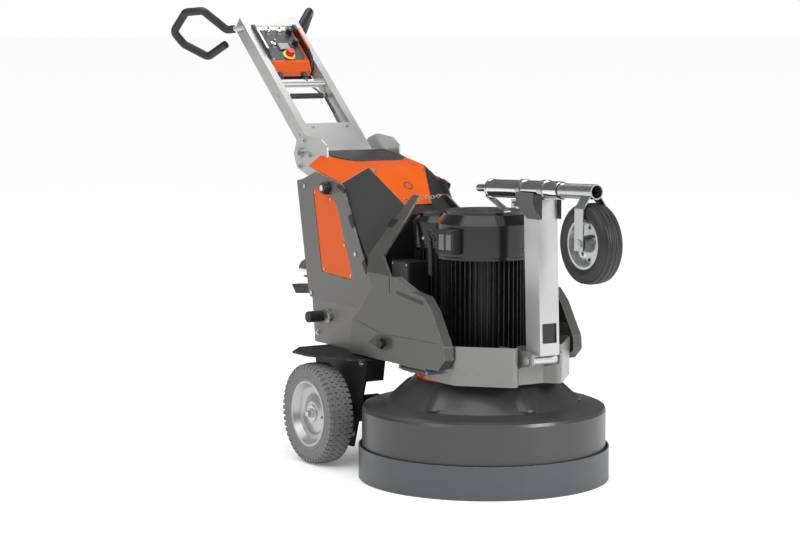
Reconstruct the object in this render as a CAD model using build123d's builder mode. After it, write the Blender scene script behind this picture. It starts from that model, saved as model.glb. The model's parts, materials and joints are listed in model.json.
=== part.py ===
"""Walk-behind, remote-controlled planetary floor grinder, as separate sub-parts.

Millimetres. The origin is on the floor under the machine's middle, +X is forward, +Y is the
machine's left and +Z is up. Most of the machine is the same on its left and right, so the
right-hand side (-Y) is drawn and mirrored about the XZ plane.
"""
import os
from math import cos, radians, sin, sqrt

from build123d import *

os.makedirs("parts", exist_ok=True)

# ---- Driving dimensions -------------------------------------------------------------------
AXLE_X = 22.75  # rear wheel axle, ahead of the origin
WHEELBASE = 507.0  # axle to the centre of the grinding head
HEAD_X = AXLE_X + WHEELBASE

TYRE_R = 181.0  # rear tyres, 4.00-8
TYRE_WIDTH = 95.0
TRACK_HALF = 373.5  # machine centre to a tyre's centre
RIM_R = 118.0
DRIVE_SHAFT_R = 14.0

GRIND_R = 413.0  # sweep of the diamond tools
SATELLITE_R = 138.0
ORBIT_R = GRIND_R - SATELLITE_R
SPINDLE_R = 20.0
SHROUD_R = 423.0
SHROUD_BOTTOM = 100.0
SKIRT_R = 435.0
SKIRT_WALL = 6.0
SKIRT_HEIGHT = 114.0
HOUSING_BOTTOM = 352.0  # orange gear housing on top of the shroud
HOUSING_HEIGHT = 32.0
HOUSING_R = 232.0

MOTOR_COWL_R = 167.0
MOTOR_BODY_R = 128.0
HEAD_MOTOR_COWL_R = 100.0
HEAD_MOTOR_BODY_R = 80.0
HEAD_MOTOR_BACK = 275.0  # head motor's axis behind the main motor's

PLATE_HALF = 225.0  # outer face of the side plates
PLATE_THICK = 5.0
SHEET = 3.0

HANDLE_ANGLE = 40.5  # slope of the handle above the horizontal
HANDLE_LENGTH = 752.0  # pivot to the handle's top end
RAIL_DEPTH = 60.0
RAIL_WIDTH = 30.0
RAIL_HALF = 128.0  # outer face of the rails
RAIL_TAIL = 60.0
RAIL_WALL = 3.0
PIVOT_X = AXLE_X - 484.0
PIVOT_Z = 1082.0
PIVOT_PIN_R = 12.0
GRIP_R = 16.0

POST_LEAN = 2.2
POST_WIDTH = 78.0
POST_DEPTH = 80.0
POST_WALL = 4.0
POST_TOP = 530.0  # above its hinge
POST_PIN_R = 10.0
POST_X = AXLE_X + 857.0
POST_Z = 452.0
TUBE_R = 31.0
TUBE_WALL = 3.5
TUBE_ABOVE = 565.0  # tube's axis above the post's hinge
TUBE_TAIL = 282.0
TUBE_NOSE = 124.0
SPINDLE_TAIL = 360.0
INNER_TUBE_R = 25.0
INNER_TUBE_WALL = 4.0
INNER_NOSE = 310.0
JOCKEY_R = 130.0
JOCKEY_WIDTH = 84.0
JOCKEY_RIM_R = 82.0
JOCKEY_HUB = (275.0, 398.0)  # along the tube and above the post's hinge
JOCKEY_AXLE_R = 10.0

WING_OUTER = 284.0
WING_INNER = 248.0
WING_SKIN = 4.0
WING_ROUND = 16.0
WING_HINGE = (268.0, 388.0)  # Y and Z of the weights' hinge line

RUNNING = 0.05  # radial clearance of a shaft in its bore
GAP = 0.3  # clearance between bodies that move past each other


def save(builder, name):
    """Label a finished piece and write it to its own STEP file."""
    builder.part.label = name
    export_step(builder.part, f"parts/{name}.step")


def from_axle(*points):
    """Side-view points given as (distance ahead of the axle, height)."""
    return [(AXLE_X + x, z) for x, z in points]


def ring_z(x, y, low, high, outer, inner):
    """Upright ring or tube between two heights, for use inside a part block."""
    with Locations((x, y, (low + high) / 2)):
        Cylinder(outer, high - low)
        if inner:
            Cylinder(inner, high - low, mode=Mode.SUBTRACT)


def bar_y(x, z, near, far, radius, mode=Mode.ADD):
    """Round bar along Y between two distances right of the centre plane."""
    with BuildSketch(Plane.XZ.offset(near)) as face:
        with Locations((x, z)):
            Circle(radius)
    extrude(face.sketch, amount=far - near, mode=mode)


def side_sheet(points, near, far, radius=0.0, mode=Mode.ADD):
    """Plate parallel to XZ between two distances right of the centre plane."""
    with BuildSketch(Plane.XZ.offset(near)) as face:
        with BuildLine():
            Polyline(*points, close=True)
        make_face()
        if radius:
            fillet(face.vertices(), radius)
    extrude(face.sketch, amount=far - near, mode=mode)


# ---- Rear wheels --------------------------------------------------------------------------
TYRE_IN = TRACK_HALF - TYRE_WIDTH / 2
TYRE_OUT = TRACK_HALF + TYRE_WIDTH / 2
BEAD = 5.0  # tyre is narrower at its bead
SHAFT_IN = 240.0
AXLE_LINE = Axis((AXLE_X, 0, TYRE_R), (0, 1, 0))

with BuildPart() as tyre_right:
    with BuildSketch(Plane.YZ.offset(AXLE_X)) as tyre_face:
        with BuildLine():
            crown = TYRE_R * 2 - 7
            wall_top = TYRE_R + 150
            low_in = (-TYRE_IN - BEAD, TYRE_R + RIM_R)
            low_out = (-TYRE_OUT + BEAD, TYRE_R + RIM_R)
            Line(low_in, low_out)
            ThreePointArc(low_out, (-TYRE_OUT, wall_top), (-TYRE_OUT + 17, crown))
            ThreePointArc(
                (-TYRE_OUT + 17, crown), (-TRACK_HALF, 2 * TYRE_R), (-TYRE_IN - 17, crown)
            )
            ThreePointArc((-TYRE_IN - 17, crown), (-TYRE_IN, wall_top), low_in)
        make_face()
    revolve(axis=AXLE_LINE)
save(tyre_right, "tyre_right")

with BuildPart() as wheel_rim_right:
    with BuildSketch(Plane.YZ.offset(AXLE_X)):
        with BuildLine():
            rim_in = -TYRE_IN - BEAD
            rim_out = -TYRE_OUT + BEAD
            disc = -TYRE_OUT + 34
            Polyline(
                (-SHAFT_IN, TYRE_R),
                (-SHAFT_IN, TYRE_R + DRIVE_SHAFT_R),
                (-TYRE_IN + 14, TYRE_R + DRIVE_SHAFT_R),
                (-TYRE_IN + 14, TYRE_R + 45),
                (disc + 8, TYRE_R + 45),
                (disc + 8, TYRE_R + 86),
                (rim_in, TYRE_R + 104),
                (rim_in, TYRE_R + RIM_R),
                (rim_out, TYRE_R + RIM_R),
                (rim_out, TYRE_R + 110),
                (rim_out + 22, TYRE_R + 94),
                (rim_out + 24, TYRE_R + 78),
                (disc, TYRE_R + 70),
                (disc - 8, TYRE_R + 42),
                (disc - 8, TYRE_R + 13),
                (disc - 28, TYRE_R + 13),
                (disc - 28, TYRE_R),
                close=True,
            )
        make_face()
    revolve(axis=AXLE_LINE)
save(wheel_rim_right, "wheel_rim_right")

for right, name in ((tyre_right, "tyre_left"), (wheel_rim_right, "wheel_rim_left")):
    with BuildPart() as left:
        add(right.part)
        mirror(about=Plane.XZ)
        split(bisect_by=Plane.XZ, keep=Keep.BOTTOM)
    save(left, name)

# ---- Wheel brackets with their mudguards, and the drive motors -----------------------------
GUARD_LOW = 388.0
GUARD_THICK = 6.0
BRACKET_IN = 270.0
BRACKET_OUT = 280.0

with BuildPart() as wheel_brackets:
    side_sheet(
        from_axle((-184, GUARD_LOW), (184, GUARD_LOW), (168, 306), (85, 62), (-85, 62), (-168, 306)),
        BRACKET_IN,
        BRACKET_OUT,
    )
    with BuildSketch(Plane.XY.offset(GUARD_LOW)) as guard:
        with BuildLine():
            Polyline(
                (AXLE_X - 190, -150),
                (AXLE_X + 120, -150),
                (AXLE_X + 120, -226),
                (AXLE_X + 205, -226),
                (AXLE_X + 205, -300),
                (AXLE_X + 185, -335),
                (AXLE_X + 5, -TYRE_OUT),
                (AXLE_X - 100, -TYRE_OUT),
                (AXLE_X - 190, -340),
                close=True,
            )
        make_face()
        fillet(guard.vertices(), 8)
    extrude(amount=GUARD_THICK)
    # front gusset that stiffens the bracket plate
    side_sheet(from_axle((150, GUARD_LOW), (184, GUARD_LOW), (168, 306), (140, 306)), 200, BRACKET_IN)
    bar_y(AXLE_X, TYRE_R, BRACKET_IN, BRACKET_OUT, 30, Mode.SUBTRACT)
    guard_middle = GUARD_LOW + GUARD_THICK / 2
    with Locations((AXLE_X - 60, -372, guard_middle), (AXLE_X + 60, -330, guard_middle)):
        Box(34, 9, GUARD_THICK, mode=Mode.SUBTRACT)
    mirror(about=Plane.XZ)
save(wheel_brackets, "wheel_brackets")

with BuildPart() as drive_motors:
    bar_y(AXLE_X, TYRE_R, 262, BRACKET_IN, 62)
    bar_y(AXLE_X, TYRE_R, 120, 262, 48)
    bar_y(AXLE_X, TYRE_R, SHAFT_IN - 1, BRACKET_IN, DRIVE_SHAFT_R + RUNNING, Mode.SUBTRACT)
    mirror(about=Plane.XZ)
save(drive_motors, "drive_motors")

# ---- Chassis ------------------------------------------------------------------------------
FLOOR_LOW = 394.0
FLOOR_THICK = 8.0
WALL_OUT = PLATE_HALF - PLATE_THICK - 0.2  # frame sides, inside the side plates
WALL_IN = WALL_OUT - 6
SEAM_Z = 556.0
FLOAT_X = AXLE_X + 215.0  # hinge that lets the grinding head float
FLOAT_Z = 430.0
FLOAT_PIN_R = 10.0
CHASSIS_LUG = (150.0, 162.0)
HEAD_LUG = (164.0, 176.0)

with BuildPart() as chassis_frame:
    with Locations((AXLE_X - 79.5, 0, FLOOR_LOW + FLOOR_THICK / 2)):
        Box(409, 2 * WALL_OUT, FLOOR_THICK)
    side_sheet(
        from_axle((-284, FLOOR_LOW), (160, FLOOR_LOW), (150, 620), (-318, 620), (-304, SEAM_Z)),
        WALL_IN,
        WALL_OUT,
    )
    side_sheet(
        from_axle((40, 402), (160, 402), (200, 410), (246, 412), (246, 446), (200, 456), (40, 456)),
        *CHASSIS_LUG,
    )
    bar_y(FLOAT_X, FLOAT_Z, *CHASSIS_LUG, FLOAT_PIN_R, Mode.SUBTRACT)
    # cross channels that carry the handle's pivot plates
    side_sheet(from_axle((-372, 905), (-318, 905), (-318, 911), (-366, 911), (-366, 940), (-372, 940)), 0, 219)
    mirror(about=Plane.XZ)
save(chassis_frame, "chassis_frame")

PLATE_OUTLINE = from_axle(
    (-310, SEAM_Z + 3), (-322, 574), (-408, 986), (-364, 994), (-266, 1026), (-72, 988),
    (-28, 907), (52, 765), (154, 622), (188, SEAM_Z + 3),
)
WINDOW = from_axle((-290, 966), (-235, 962), (-150, 944), (-112, 905), (3, 648), (-224, 659))
KNOB_SPOT = (AXLE_X - 170, 972)
KNOB_STEM_R = 6.0

with BuildPart() as side_plates:
    side_sheet(PLATE_OUTLINE, PLATE_HALF - PLATE_THICK, PLATE_HALF, 8)
    side_sheet(WINDOW, PLATE_HALF - PLATE_THICK, PLATE_HALF, 6, Mode.SUBTRACT)
    bar_y(*KNOB_SPOT, PLATE_HALF - PLATE_THICK, PLATE_HALF, KNOB_STEM_R + RUNNING, Mode.SUBTRACT)
    mirror(about=Plane.XZ)
save(side_plates, "side_plates")

with BuildPart() as inset_panels:
    with BuildSketch(Plane.XZ.offset(PLATE_HALF - PLATE_THICK)) as inset_face:
        with BuildLine():
            Polyline(*WINDOW, close=True)
        make_face()
        fillet(inset_face.vertices(), 6)
        offset(amount=-1.5, mode=Mode.REPLACE)
    extrude(amount=SHEET)
    mirror(about=Plane.XZ)
save(inset_panels, "inset_panels")

# ---- Console: dark folded cover with the orange hood over it -------------------------------
CONSOLE_HALF = 213.0
HOOD_TOP_FRONT = (-63.0, 1046.0)
HOOD_TOP_REAR = (-385.0, 1086.0)
TAB_END = (84.0, 918.0)
HOOD_PITCH = (HOOD_TOP_FRONT[1] - HOOD_TOP_REAR[1]) / (HOOD_TOP_FRONT[0] - HOOD_TOP_REAR[0])
WALL_FRONT = 118.0
CHEEK = ((-63, -121, 1046), (84, -60, 918), (56, -216, 765))
SHOULDER = ((-63, -121, 1046), (-95, -215, 985), (-234, -140, 1070))


def facet(corners, outward):
    """Plane through three corners given from the axle, its normal pointing outward."""
    a, b, c = (Vector(AXLE_X + x, y, z) for x, y, z in corners)
    normal = (b - a).cross(c - a).normalized()
    if normal.dot(Vector(*outward)) < 0:
        normal = -normal
    return Plane(origin=a, z_dir=normal)


def console_block(grow, cheek_grow, rear, bottom):
    """Solid console with its faces moved outward by grow, its cheeks by cheek_grow."""
    slope = (TAB_END[1] - HOOD_TOP_FRONT[1]) / (TAB_END[0] - HOOD_TOP_FRONT[0])
    corner = (WALL_FRONT, TAB_END[1] + slope * (WALL_FRONT - TAB_END[0]))
    with BuildPart() as block:
        with BuildSketch(Plane.XZ):
            with BuildLine():
                Polyline(
                    *from_axle(
                        (rear, bottom), (WALL_FRONT, bottom), corner, HOOD_TOP_FRONT,
                        (rear, HOOD_TOP_FRONT[1] + HOOD_PITCH * (rear - HOOD_TOP_FRONT[0])),
                    ),
                    close=True,
                )
            make_face()
            if grow:
                offset(amount=grow, kind=Kind.INTERSECTION, mode=Mode.REPLACE)
        extrude(amount=CONSOLE_HALF + min(grow, 0), both=True)
        for corners, push in ((CHEEK, cheek_grow), (SHOULDER, grow)):
            for side in (1, -1):
                mirrored = tuple((x, y * side, z) for x, y, z in corners)
                plane = facet(mirrored, (0.3, -side, 0.6)).offset(push)
                split(bisect_by=plane, keep=Keep.BOTTOM)
    return block.part


COVER_BOTTOM = 470.0
with BuildPart() as front_cover:
    add(console_block(0, 0, -190, COVER_BOTTOM))
    add(console_block(-SHEET, -SHEET, -260, COVER_BOTTOM - 30), mode=Mode.SUBTRACT)
save(front_cover, "front_cover")

TAB_NORMAL = Vector(TAB_END[0] - HOOD_TOP_FRONT[0], 0, TAB_END[1] - HOOD_TOP_FRONT[1])
HOOD_REAR = -338.0
DISC_SLOT = 163.0
with BuildPart() as hood:
    add(console_block(GAP + SHEET, -1, -500, 860))
    add(console_block(GAP, 30, -520, 800), mode=Mode.SUBTRACT)
    split(
        bisect_by=Plane(origin=(AXLE_X + TAB_END[0], 0, TAB_END[1]), z_dir=TAB_NORMAL.normalized()),
        keep=Keep.BOTTOM,
    )
    split(bisect_by=Plane(origin=(AXLE_X + HOOD_REAR, 0, 0), z_dir=(-1, 0, 0)), keep=Keep.BOTTOM)
    with Locations((AXLE_X - 390, 0, 1050)):
        Box(200, 2 * DISC_SLOT, 200, mode=Mode.SUBTRACT)
save(hood, "hood")

TRAY_PLANE = Plane(
    origin=(AXLE_X + HOOD_TOP_FRONT[0], 0, HOOD_TOP_FRONT[1] + GAP + SHEET + 0.4),
    x_dir=Vector(1, 0, HOOD_PITCH).normalized(),
    z_dir=Vector(-HOOD_PITCH, 0, 1).normalized(),
)
with BuildPart() as top_tray:
    with BuildSketch(TRAY_PLANE) as tray_face:
        with BuildLine():
            Polyline(
                (-114, -93), (-114, 93), (-160, 134), (-225, 148), (-330, 148), (-330, -148),
                (-225, -148), (-160, -134), close=True,
            )
        make_face()
        fillet(tray_face.vertices(), 6)
    extrude(amount=4, taper=20)
save(top_tray, "top_tray")

REAR_LINE = ((-284, 404), (-304, SEAM_Z), (-312, 574), (-397, 978))
PORT_Y = -162.0
PORT_Z = 648.0
PORT_R = 38.0
with BuildPart() as rear_panel:
    outer = from_axle(*REAR_LINE)
    inner = [(x + SHEET, z) for x, z in reversed(outer)]
    side_sheet(outer + inner, 0, WALL_IN - 0.5)
    mirror(about=Plane.XZ)
    with Locations((AXLE_X - 328, PORT_Y, PORT_Z)):
        Cylinder(PORT_R + 0.5, 60, rotation=(0, 90, 0), mode=Mode.SUBTRACT)
save(rear_panel, "rear_panel")

# ---- Pivot plates, fasteners and rear fittings ---------------------------------------------
DISC_IN = 154.0
DISC_OUT = 160.0
DISC_BOLTS = from_axle((-421, 1077), (-460, 1131), (-492, 1031))

with BuildPart() as pivot_plates:
    with BuildSketch(Plane.XZ.offset(DISC_IN)) as disc_face:
        with BuildLine():
            Polyline(
                *from_axle(
                    (-316, 912), (-364, 912), (-368, 985), (-441, 1000), (-523, 1026), (-546, 1079),
                    (-524, 1130), (-456, 1150), (-340, 1140), (-296, 1115), (-292, 1060), (-316, 1000),
                ),
                close=True,
            )
        make_face()
        fillet(disc_face.vertices(), 14)
    extrude(amount=DISC_OUT - DISC_IN)
    bar_y(PIVOT_X, PIVOT_Z, DISC_IN, DISC_OUT, PIVOT_PIN_R, Mode.SUBTRACT)
    mirror(about=Plane.XZ)
save(pivot_plates, "pivot_plates")

PANEL_SCREWS = from_axle((-272, 950), (-160, 930), (-60, 770), (-16, 664), (-206, 672))
PLATE_SCREWS = from_axle((-345, 968), (20, 745), (-297, 575))
with BuildPart() as chassis_fasteners:
    for x, z in PANEL_SCREWS:
        bar_y(x, z, PLATE_HALF - PLATE_THICK + SHEET, PLATE_HALF + 1, 5)
    for x, z in PLATE_SCREWS:
        bar_y(x, z, PLATE_HALF, PLATE_HALF + 5, 8)
    bar_y(AXLE_X - 174, 501, WALL_OUT, WALL_OUT + 12, 23)
    for x, z in DISC_BOLTS:
        bar_y(x, z, DISC_OUT, DISC_OUT + 7, 9)
    bar_y(PIVOT_X, PIVOT_Z, 96, DISC_OUT + 12, PIVOT_PIN_R)
    bar_y(PIVOT_X, PIVOT_Z, DISC_OUT, DISC_OUT + 12, 20)
    bar_y(FLOAT_X, FLOAT_Z, CHASSIS_LUG[0] - 8, CHASSIS_LUG[0], 14)
    bar_y(FLOAT_X, FLOAT_Z, CHASSIS_LUG[0] - 8, HEAD_LUG[1] + 4, FLOAT_PIN_R)
    mirror(about=Plane.XZ)
save(chassis_fasteners, "chassis_fasteners")

PORT_ROOT = AXLE_X - 320.0
PORT_END = AXLE_X - 442.0
PORT_SEAT = AXLE_X + REAR_LINE[2][0] - (PORT_Z - REAR_LINE[2][1]) * 85 / 404
with BuildPart() as dust_port:
    with BuildSketch(Plane(origin=(PORT_ROOT, PORT_Y, PORT_Z), z_dir=(-1, 0, 0))):
        Circle(PORT_R)
        Circle(PORT_R - 4, mode=Mode.SUBTRACT)
    extrude(amount=PORT_ROOT - PORT_END)
    with BuildSketch(Plane(origin=(PORT_SEAT, PORT_Y, PORT_Z), z_dir=(-404, 0, -85))):
        Circle(PORT_R + 6)
        Circle(PORT_R - 1, mode=Mode.SUBTRACT)
    extrude(amount=5)
save(dust_port, "dust_port")

HOOK = from_axle((-321, 604), (-314, 569), (-438, 557), (-470, 589))
BUMPER_R = 20.0
BUMPER_LENGTH = 60.0
with BuildPart() as rubber_fittings:
    side_sheet([(x - 8, z) for x, z in HOOK], 178, 210)
    bar_y(AXLE_X - 234, 494, WALL_OUT, WALL_OUT + BUMPER_LENGTH, BUMPER_R)
    mirror(about=Plane.XZ)
save(rubber_fittings, "rubber_fittings")

with BuildPart() as inverter:
    with Locations((AXLE_X - 170, 0, 640)):
        Box(200, 300, 400)
        fillet(inverter.edges().filter_by(Axis.Z), 10)
    with Locations((AXLE_X - 60, 0, 640)):
        with GridLocations(1, 20, 1, 12):
            Box(20, 6, 360)
save(inverter, "inverter")

KNOB_R = 24.0
with BuildPart() as lock_knob_right:
    bar_y(*KNOB_SPOT, PLATE_HALF - 11, PLATE_HALF + 8, KNOB_STEM_R)
    bar_y(*KNOB_SPOT, PLATE_HALF + 4, PLATE_HALF + 30, KNOB_R - 4)
    with BuildSketch(Plane.XZ.offset(PLATE_HALF + 4)):
        with Locations(KNOB_SPOT):
            with PolarLocations(KNOB_R - 7, 5):
                Circle(7.5)
    extrude(amount=22)
save(lock_knob_right, "lock_knob_right")
with BuildPart() as lock_knob_left:
    add(lock_knob_right.part)
    mirror(about=Plane.XZ)
    split(bisect_by=Plane.XZ, keep=Keep.BOTTOM)
save(lock_knob_left, "lock_knob_left")

# ---- Handle -------------------------------------------------------------------------------
# The handle's own directions: along it from the pivot, and square to its top face.
ALONG = Vector(-cos(radians(HANDLE_ANGLE)), 0, sin(radians(HANDLE_ANGLE)))
SQUARE = Vector(sin(radians(HANDLE_ANGLE)), 0, cos(radians(HANDLE_ANGLE)))
PIVOT = Vector(PIVOT_X, 0, PIVOT_Z)
HANDLE_SIDE = Plane(origin=PIVOT, x_dir=ALONG, z_dir=(0, 1, 0))
RAIL_IN = RAIL_HALF - RAIL_WIDTH
CROSS_TUBE = (372.0, 13.0)
CROSS_TUBE_R = 13.0
GRIP_BACK = 30.6  # grips' roots from the handle's top end
GRIP_START = PIVOT + ALONG * (HANDLE_LENGTH - GRIP_BACK) - SQUARE * 0.7 - Vector(0, RAIL_HALF + 7, 0)
GRIP_OUT = Vector(-0.843, -0.527, -0.106).normalized()
GRIP_UP = Vector(0.137, -0.402, 0.905).normalized()
GRIP_PLANE = Plane(origin=GRIP_START, x_dir=GRIP_OUT, z_dir=GRIP_OUT.cross(GRIP_UP).normalized())


def handle_slab(low, high, under, over, near, far, radius=0.0, mode=Mode.ADD):
    """Block given along the handle, square to it, and across it (near to far in Y)."""
    with BuildSketch(HANDLE_SIDE.offset(near)) as face:
        with Locations(((low + high) / 2, (under + over) / 2)):
            Rectangle(high - low, over - under)
        if radius:
            fillet(face.vertices(), radius)
    extrude(face.sketch, amount=far - near, mode=mode)


def handle_bar(along, square, near, far, radius, mode=Mode.ADD):
    """Round bar across the handle."""
    with BuildSketch(HANDLE_SIDE.offset(near)) as face:
        with Locations((along, square)):
            Circle(radius)
    extrude(face.sketch, amount=far - near, mode=mode)


with BuildPart() as handle_frame:
    half = RAIL_DEPTH / 2
    handle_slab(-RAIL_TAIL, HANDLE_LENGTH, -half, half, RAIL_IN, RAIL_HALF, 4)
    handle_slab(
        -RAIL_TAIL - 1, HANDLE_LENGTH - RAIL_WALL, -half + RAIL_WALL, half - RAIL_WALL,
        RAIL_IN + RAIL_WALL, RAIL_HALF - RAIL_WALL, mode=Mode.SUBTRACT,
    )
    handle_bar(0, 0, RAIL_IN, RAIL_HALF, PIVOT_PIN_R + RUNNING, Mode.SUBTRACT)
    mirror(about=Plane.XZ)
    handle_slab(702, HANDLE_LENGTH, half - RAIL_WALL, half, -RAIL_IN, RAIL_IN)
    handle_slab(-57, 132, half - RAIL_WALL, half - 0.5, -RAIL_IN, RAIL_IN)
    handle_bar(*CROSS_TUBE, -RAIL_IN, RAIL_IN, CROSS_TUBE_R)
    with BuildSketch(Plane(origin=GRIP_START + GRIP_OUT * 20, z_dir=-GRIP_OUT)):
        Circle(11)
    extrude(until=Until.NEXT)
    with BuildSketch(
        Plane(
            origin=Vector(GRIP_START.X, -GRIP_START.Y, GRIP_START.Z)
            + Vector(GRIP_OUT.X, -GRIP_OUT.Y, GRIP_OUT.Z) * 20,
            z_dir=Vector(-GRIP_OUT.X, GRIP_OUT.Y, -GRIP_OUT.Z),
        )
    ):
        Circle(11)
    extrude(until=Until.NEXT)
save(handle_frame, "handle_frame")

with BuildPart() as grip_right:
    with BuildLine(GRIP_PLANE) as grip_line:
        FilletPolyline(
            (20, 0), (54, 0), (132, 93), (212, 96), (296, 20), (268, -38), (178, -104), (80, -60),
            radius=26,
        )
    with BuildSketch(Plane(origin=grip_line.line @ 0, z_dir=grip_line.line % 0)):
        Circle(GRIP_R)
    sweep()
save(grip_right, "grip_right")
with BuildPart() as grip_left:
    add(grip_right.part)
    mirror(about=Plane.XZ)
    split(bisect_by=Plane.XZ, keep=Keep.BOTTOM)
save(grip_left, "grip_left")

REMOTE_LOW = 462.0
REMOTE_HIGH = 690.0
REMOTE_HALF = 84.0
PANEL_AT = 20.0  # face of the control panel, square to the handle
GUARD_IN = 87.0
CRADLE_BACK = -36.0
PLUG_R = 11.0
PLUG_SPOTS = ((REMOTE_LOW, -14, -56), (REMOTE_LOW, -14, 53))

with BuildPart() as remote_cradle:
    handle_slab(455, 700, CRADLE_BACK, CRADLE_BACK + 3, -RAIL_IN + GAP, RAIL_IN - GAP)
    for near, far in ((-RAIL_IN + GAP, -GUARD_IN), (GUARD_IN, RAIL_IN - GAP)):
        with BuildSketch(HANDLE_SIDE.offset(near)) as guard_face:
            with BuildLine():
                Polyline(
                    (470, CRADLE_BACK), (470, 5), (505, 34), (560, 45), (640, 47), (702, 40),
                    (702, CRADLE_BACK), close=True,
                )
            make_face()
            fillet(guard_face.vertices(), 8)
        extrude(amount=far - near)
    for along, square, across in PLUG_SPOTS:
        spot = PIVOT + ALONG * (along - GAP) + SQUARE * square + Vector(0, across, 0)
        with BuildSketch(Plane(origin=spot, z_dir=-ALONG)):
            Circle(PLUG_R)
        extrude(amount=22)
save(remote_cradle, "remote_cradle")

COLLAR_IN = 6.3
TOGGLES = {"toggle_left": (680, -32), "toggle_middle": (680, 18), "toggle_lower": (601, -38)}
KNOBS = {"knob_upper": (667, 60), "knob_lower": (601, 60)}
STOP_SPOT = (538, 9)


def panel_plane(height):
    """Plane square to the handle's top face; its local y points to the machine's right."""
    return Plane(origin=PIVOT + SQUARE * height, x_dir=ALONG, z_dir=SQUARE)


def stud(spot, low, high, radius, taper=0):
    """Round stud standing on the control panel; spot is (along, to the left)."""
    with BuildSketch(panel_plane(low)) as face:
        with Locations((spot[0], -spot[1])):
            Circle(radius)
    extrude(face.sketch, amount=high - low, taper=taper)


with BuildPart() as remote_case:
    with BuildSketch(HANDLE_SIDE.offset(-REMOTE_HALF)) as case_face:
        with BuildLine():
            Polyline(
                (REMOTE_LOW, -30), (REMOTE_HIGH, -30), (REMOTE_HIGH, PANEL_AT), (497, PANEL_AT),
                (REMOTE_LOW, 0), close=True,
            )
        make_face()
        fillet(case_face.vertices(), 5)
    extrude(amount=2 * REMOTE_HALF)
    for spot in TOGGLES.values():
        stud(spot, PANEL_AT - 1, PANEL_AT + 7, 9.5)
    for spot in TOGGLES.values():
        with BuildSketch(panel_plane(PANEL_AT)):
            with Locations((spot[0], -spot[1])):
                Circle(COLLAR_IN)
        extrude(amount=20, mode=Mode.SUBTRACT)
    stud(STOP_SPOT, PANEL_AT - 1, PANEL_AT + 4, 17)
    with BuildSketch(panel_plane(PANEL_AT)):
        with Locations((STOP_SPOT[0], -STOP_SPOT[1])):
            Circle(8 + GAP)
    extrude(amount=20, mode=Mode.SUBTRACT)
save(remote_case, "remote_case")

BALL_R = COLLAR_IN - GAP
LEVER_R = 3.0
for name, spot in TOGGLES.items():
    centre = PIVOT + ALONG * spot[0] + SQUARE * (PANEL_AT + 7) + Vector(0, spot[1], 0)
    with BuildPart() as toggle:
        with BuildSketch(Plane(origin=centre, x_dir=(0, 1, 0), z_dir=-ALONG)):
            with BuildLine():
                Polyline(
                    (0, -BALL_R * 0.87), (BALL_R * 0.5, -BALL_R * 0.87), (BALL_R * 0.87, -BALL_R * 0.5),
                    (BALL_R, 0), (BALL_R * 0.87, BALL_R * 0.5), (LEVER_R, BALL_R * 0.87),
                    (LEVER_R, 18), (LEVER_R - 1, 20), (0, 20), close=True,
                )
            make_face()
        revolve(axis=Axis(centre, SQUARE))
        # pin that the lever rocks on
        with Locations(centre):
            Cylinder(1.5, 2 * BALL_R + 0.2, rotation=(90, 0, 0))
    save(toggle, name)

for name, spot in KNOBS.items():
    with BuildPart() as knob:
        stud(spot, PANEL_AT + GAP, PANEL_AT + 6, 14)
        stud(spot, PANEL_AT + 5, PANEL_AT + 24, 11, 3)
    save(knob, name)

with BuildPart() as stop_button:
    stud(STOP_SPOT, PANEL_AT + 4.5, PANEL_AT + 13, 8)
    stud(STOP_SPOT, PANEL_AT + 12, PANEL_AT + 24, 17, 12)
save(stop_button, "stop_button")

with BuildPart() as release_bar:
    handle_bar(318, 0, -80, 88, 11)
    rod_start = PIVOT + ALONG * 318 + Vector(0, 80, 0)
    with BuildSketch(Plane(origin=rod_start, z_dir=-ALONG)):
        Circle(6)
    extrude(amount=250)
save(release_bar, "release_bar")

CABLE_R = 4.0
with BuildPart() as remote_cable:
    route = [(438.6, -14, 53), (418, -18, 55), (396, -22, 66), (374, -22, 80), (350, -20, 86), (326, -17, 87)]
    points = [PIVOT + ALONG * a + SQUARE * s + Vector(0, y, 0) for a, s, y in route]
    with BuildLine() as cable_line:
        FilletPolyline(*points, radius=[45, 25, 30, 45])
    with BuildSketch(Plane(origin=cable_line.line @ 0, z_dir=cable_line.line % 0)):
        Circle(CABLE_R)
    sweep()
save(remote_cable, "remote_cable")

# ---- Grinding head: shroud, skirt and gear housing -----------------------------------------
DECK = HOUSING_BOTTOM
HEAD_LINE = Axis((HEAD_X, 0, 0), (0, 0, 1))
with BuildPart() as shroud:
    with BuildSketch(Plane(origin=(HEAD_X, 0, 0), x_dir=(1, 0, 0), z_dir=(0, -1, 0))):
        with BuildLine():
            Polyline(
                (150, DECK),
                (242, DECK),
                (330, 268),
                (402, 257),
                (SHROUD_R - 4, 250),
                (SHROUD_R, 240),
                (SHROUD_R, SHROUD_BOTTOM),
                (SHROUD_R - 4, SHROUD_BOTTOM),
                (SHROUD_R - 4, 238),
                (SHROUD_R - 7, 246),
                (401, 252),
                (327, 263),
                (239, DECK - 5),
                (150, DECK - 5),
                close=True,
            )
        make_face()
    revolve(axis=HEAD_LINE)
save(shroud, "shroud")

with BuildPart() as skirt:
    ring_z(HEAD_X, 0, 0, SKIRT_HEIGHT, SKIRT_R, SKIRT_R - SKIRT_WALL)
save(skirt, "skirt")


def egg(high, low, big, small):
    """Outline round the head's axis and the head motor's axis, hulled, as a solid."""
    with BuildPart() as body:
        with BuildSketch(Plane.XY.offset(low)) as outline:
            with Locations((HEAD_X, 0)):
                Circle(big)
            with Locations((HEAD_X - HEAD_MOTOR_BACK, 0)):
                Circle(small)
            make_hull()
        extrude(amount=high - low)
    return body.part


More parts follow.
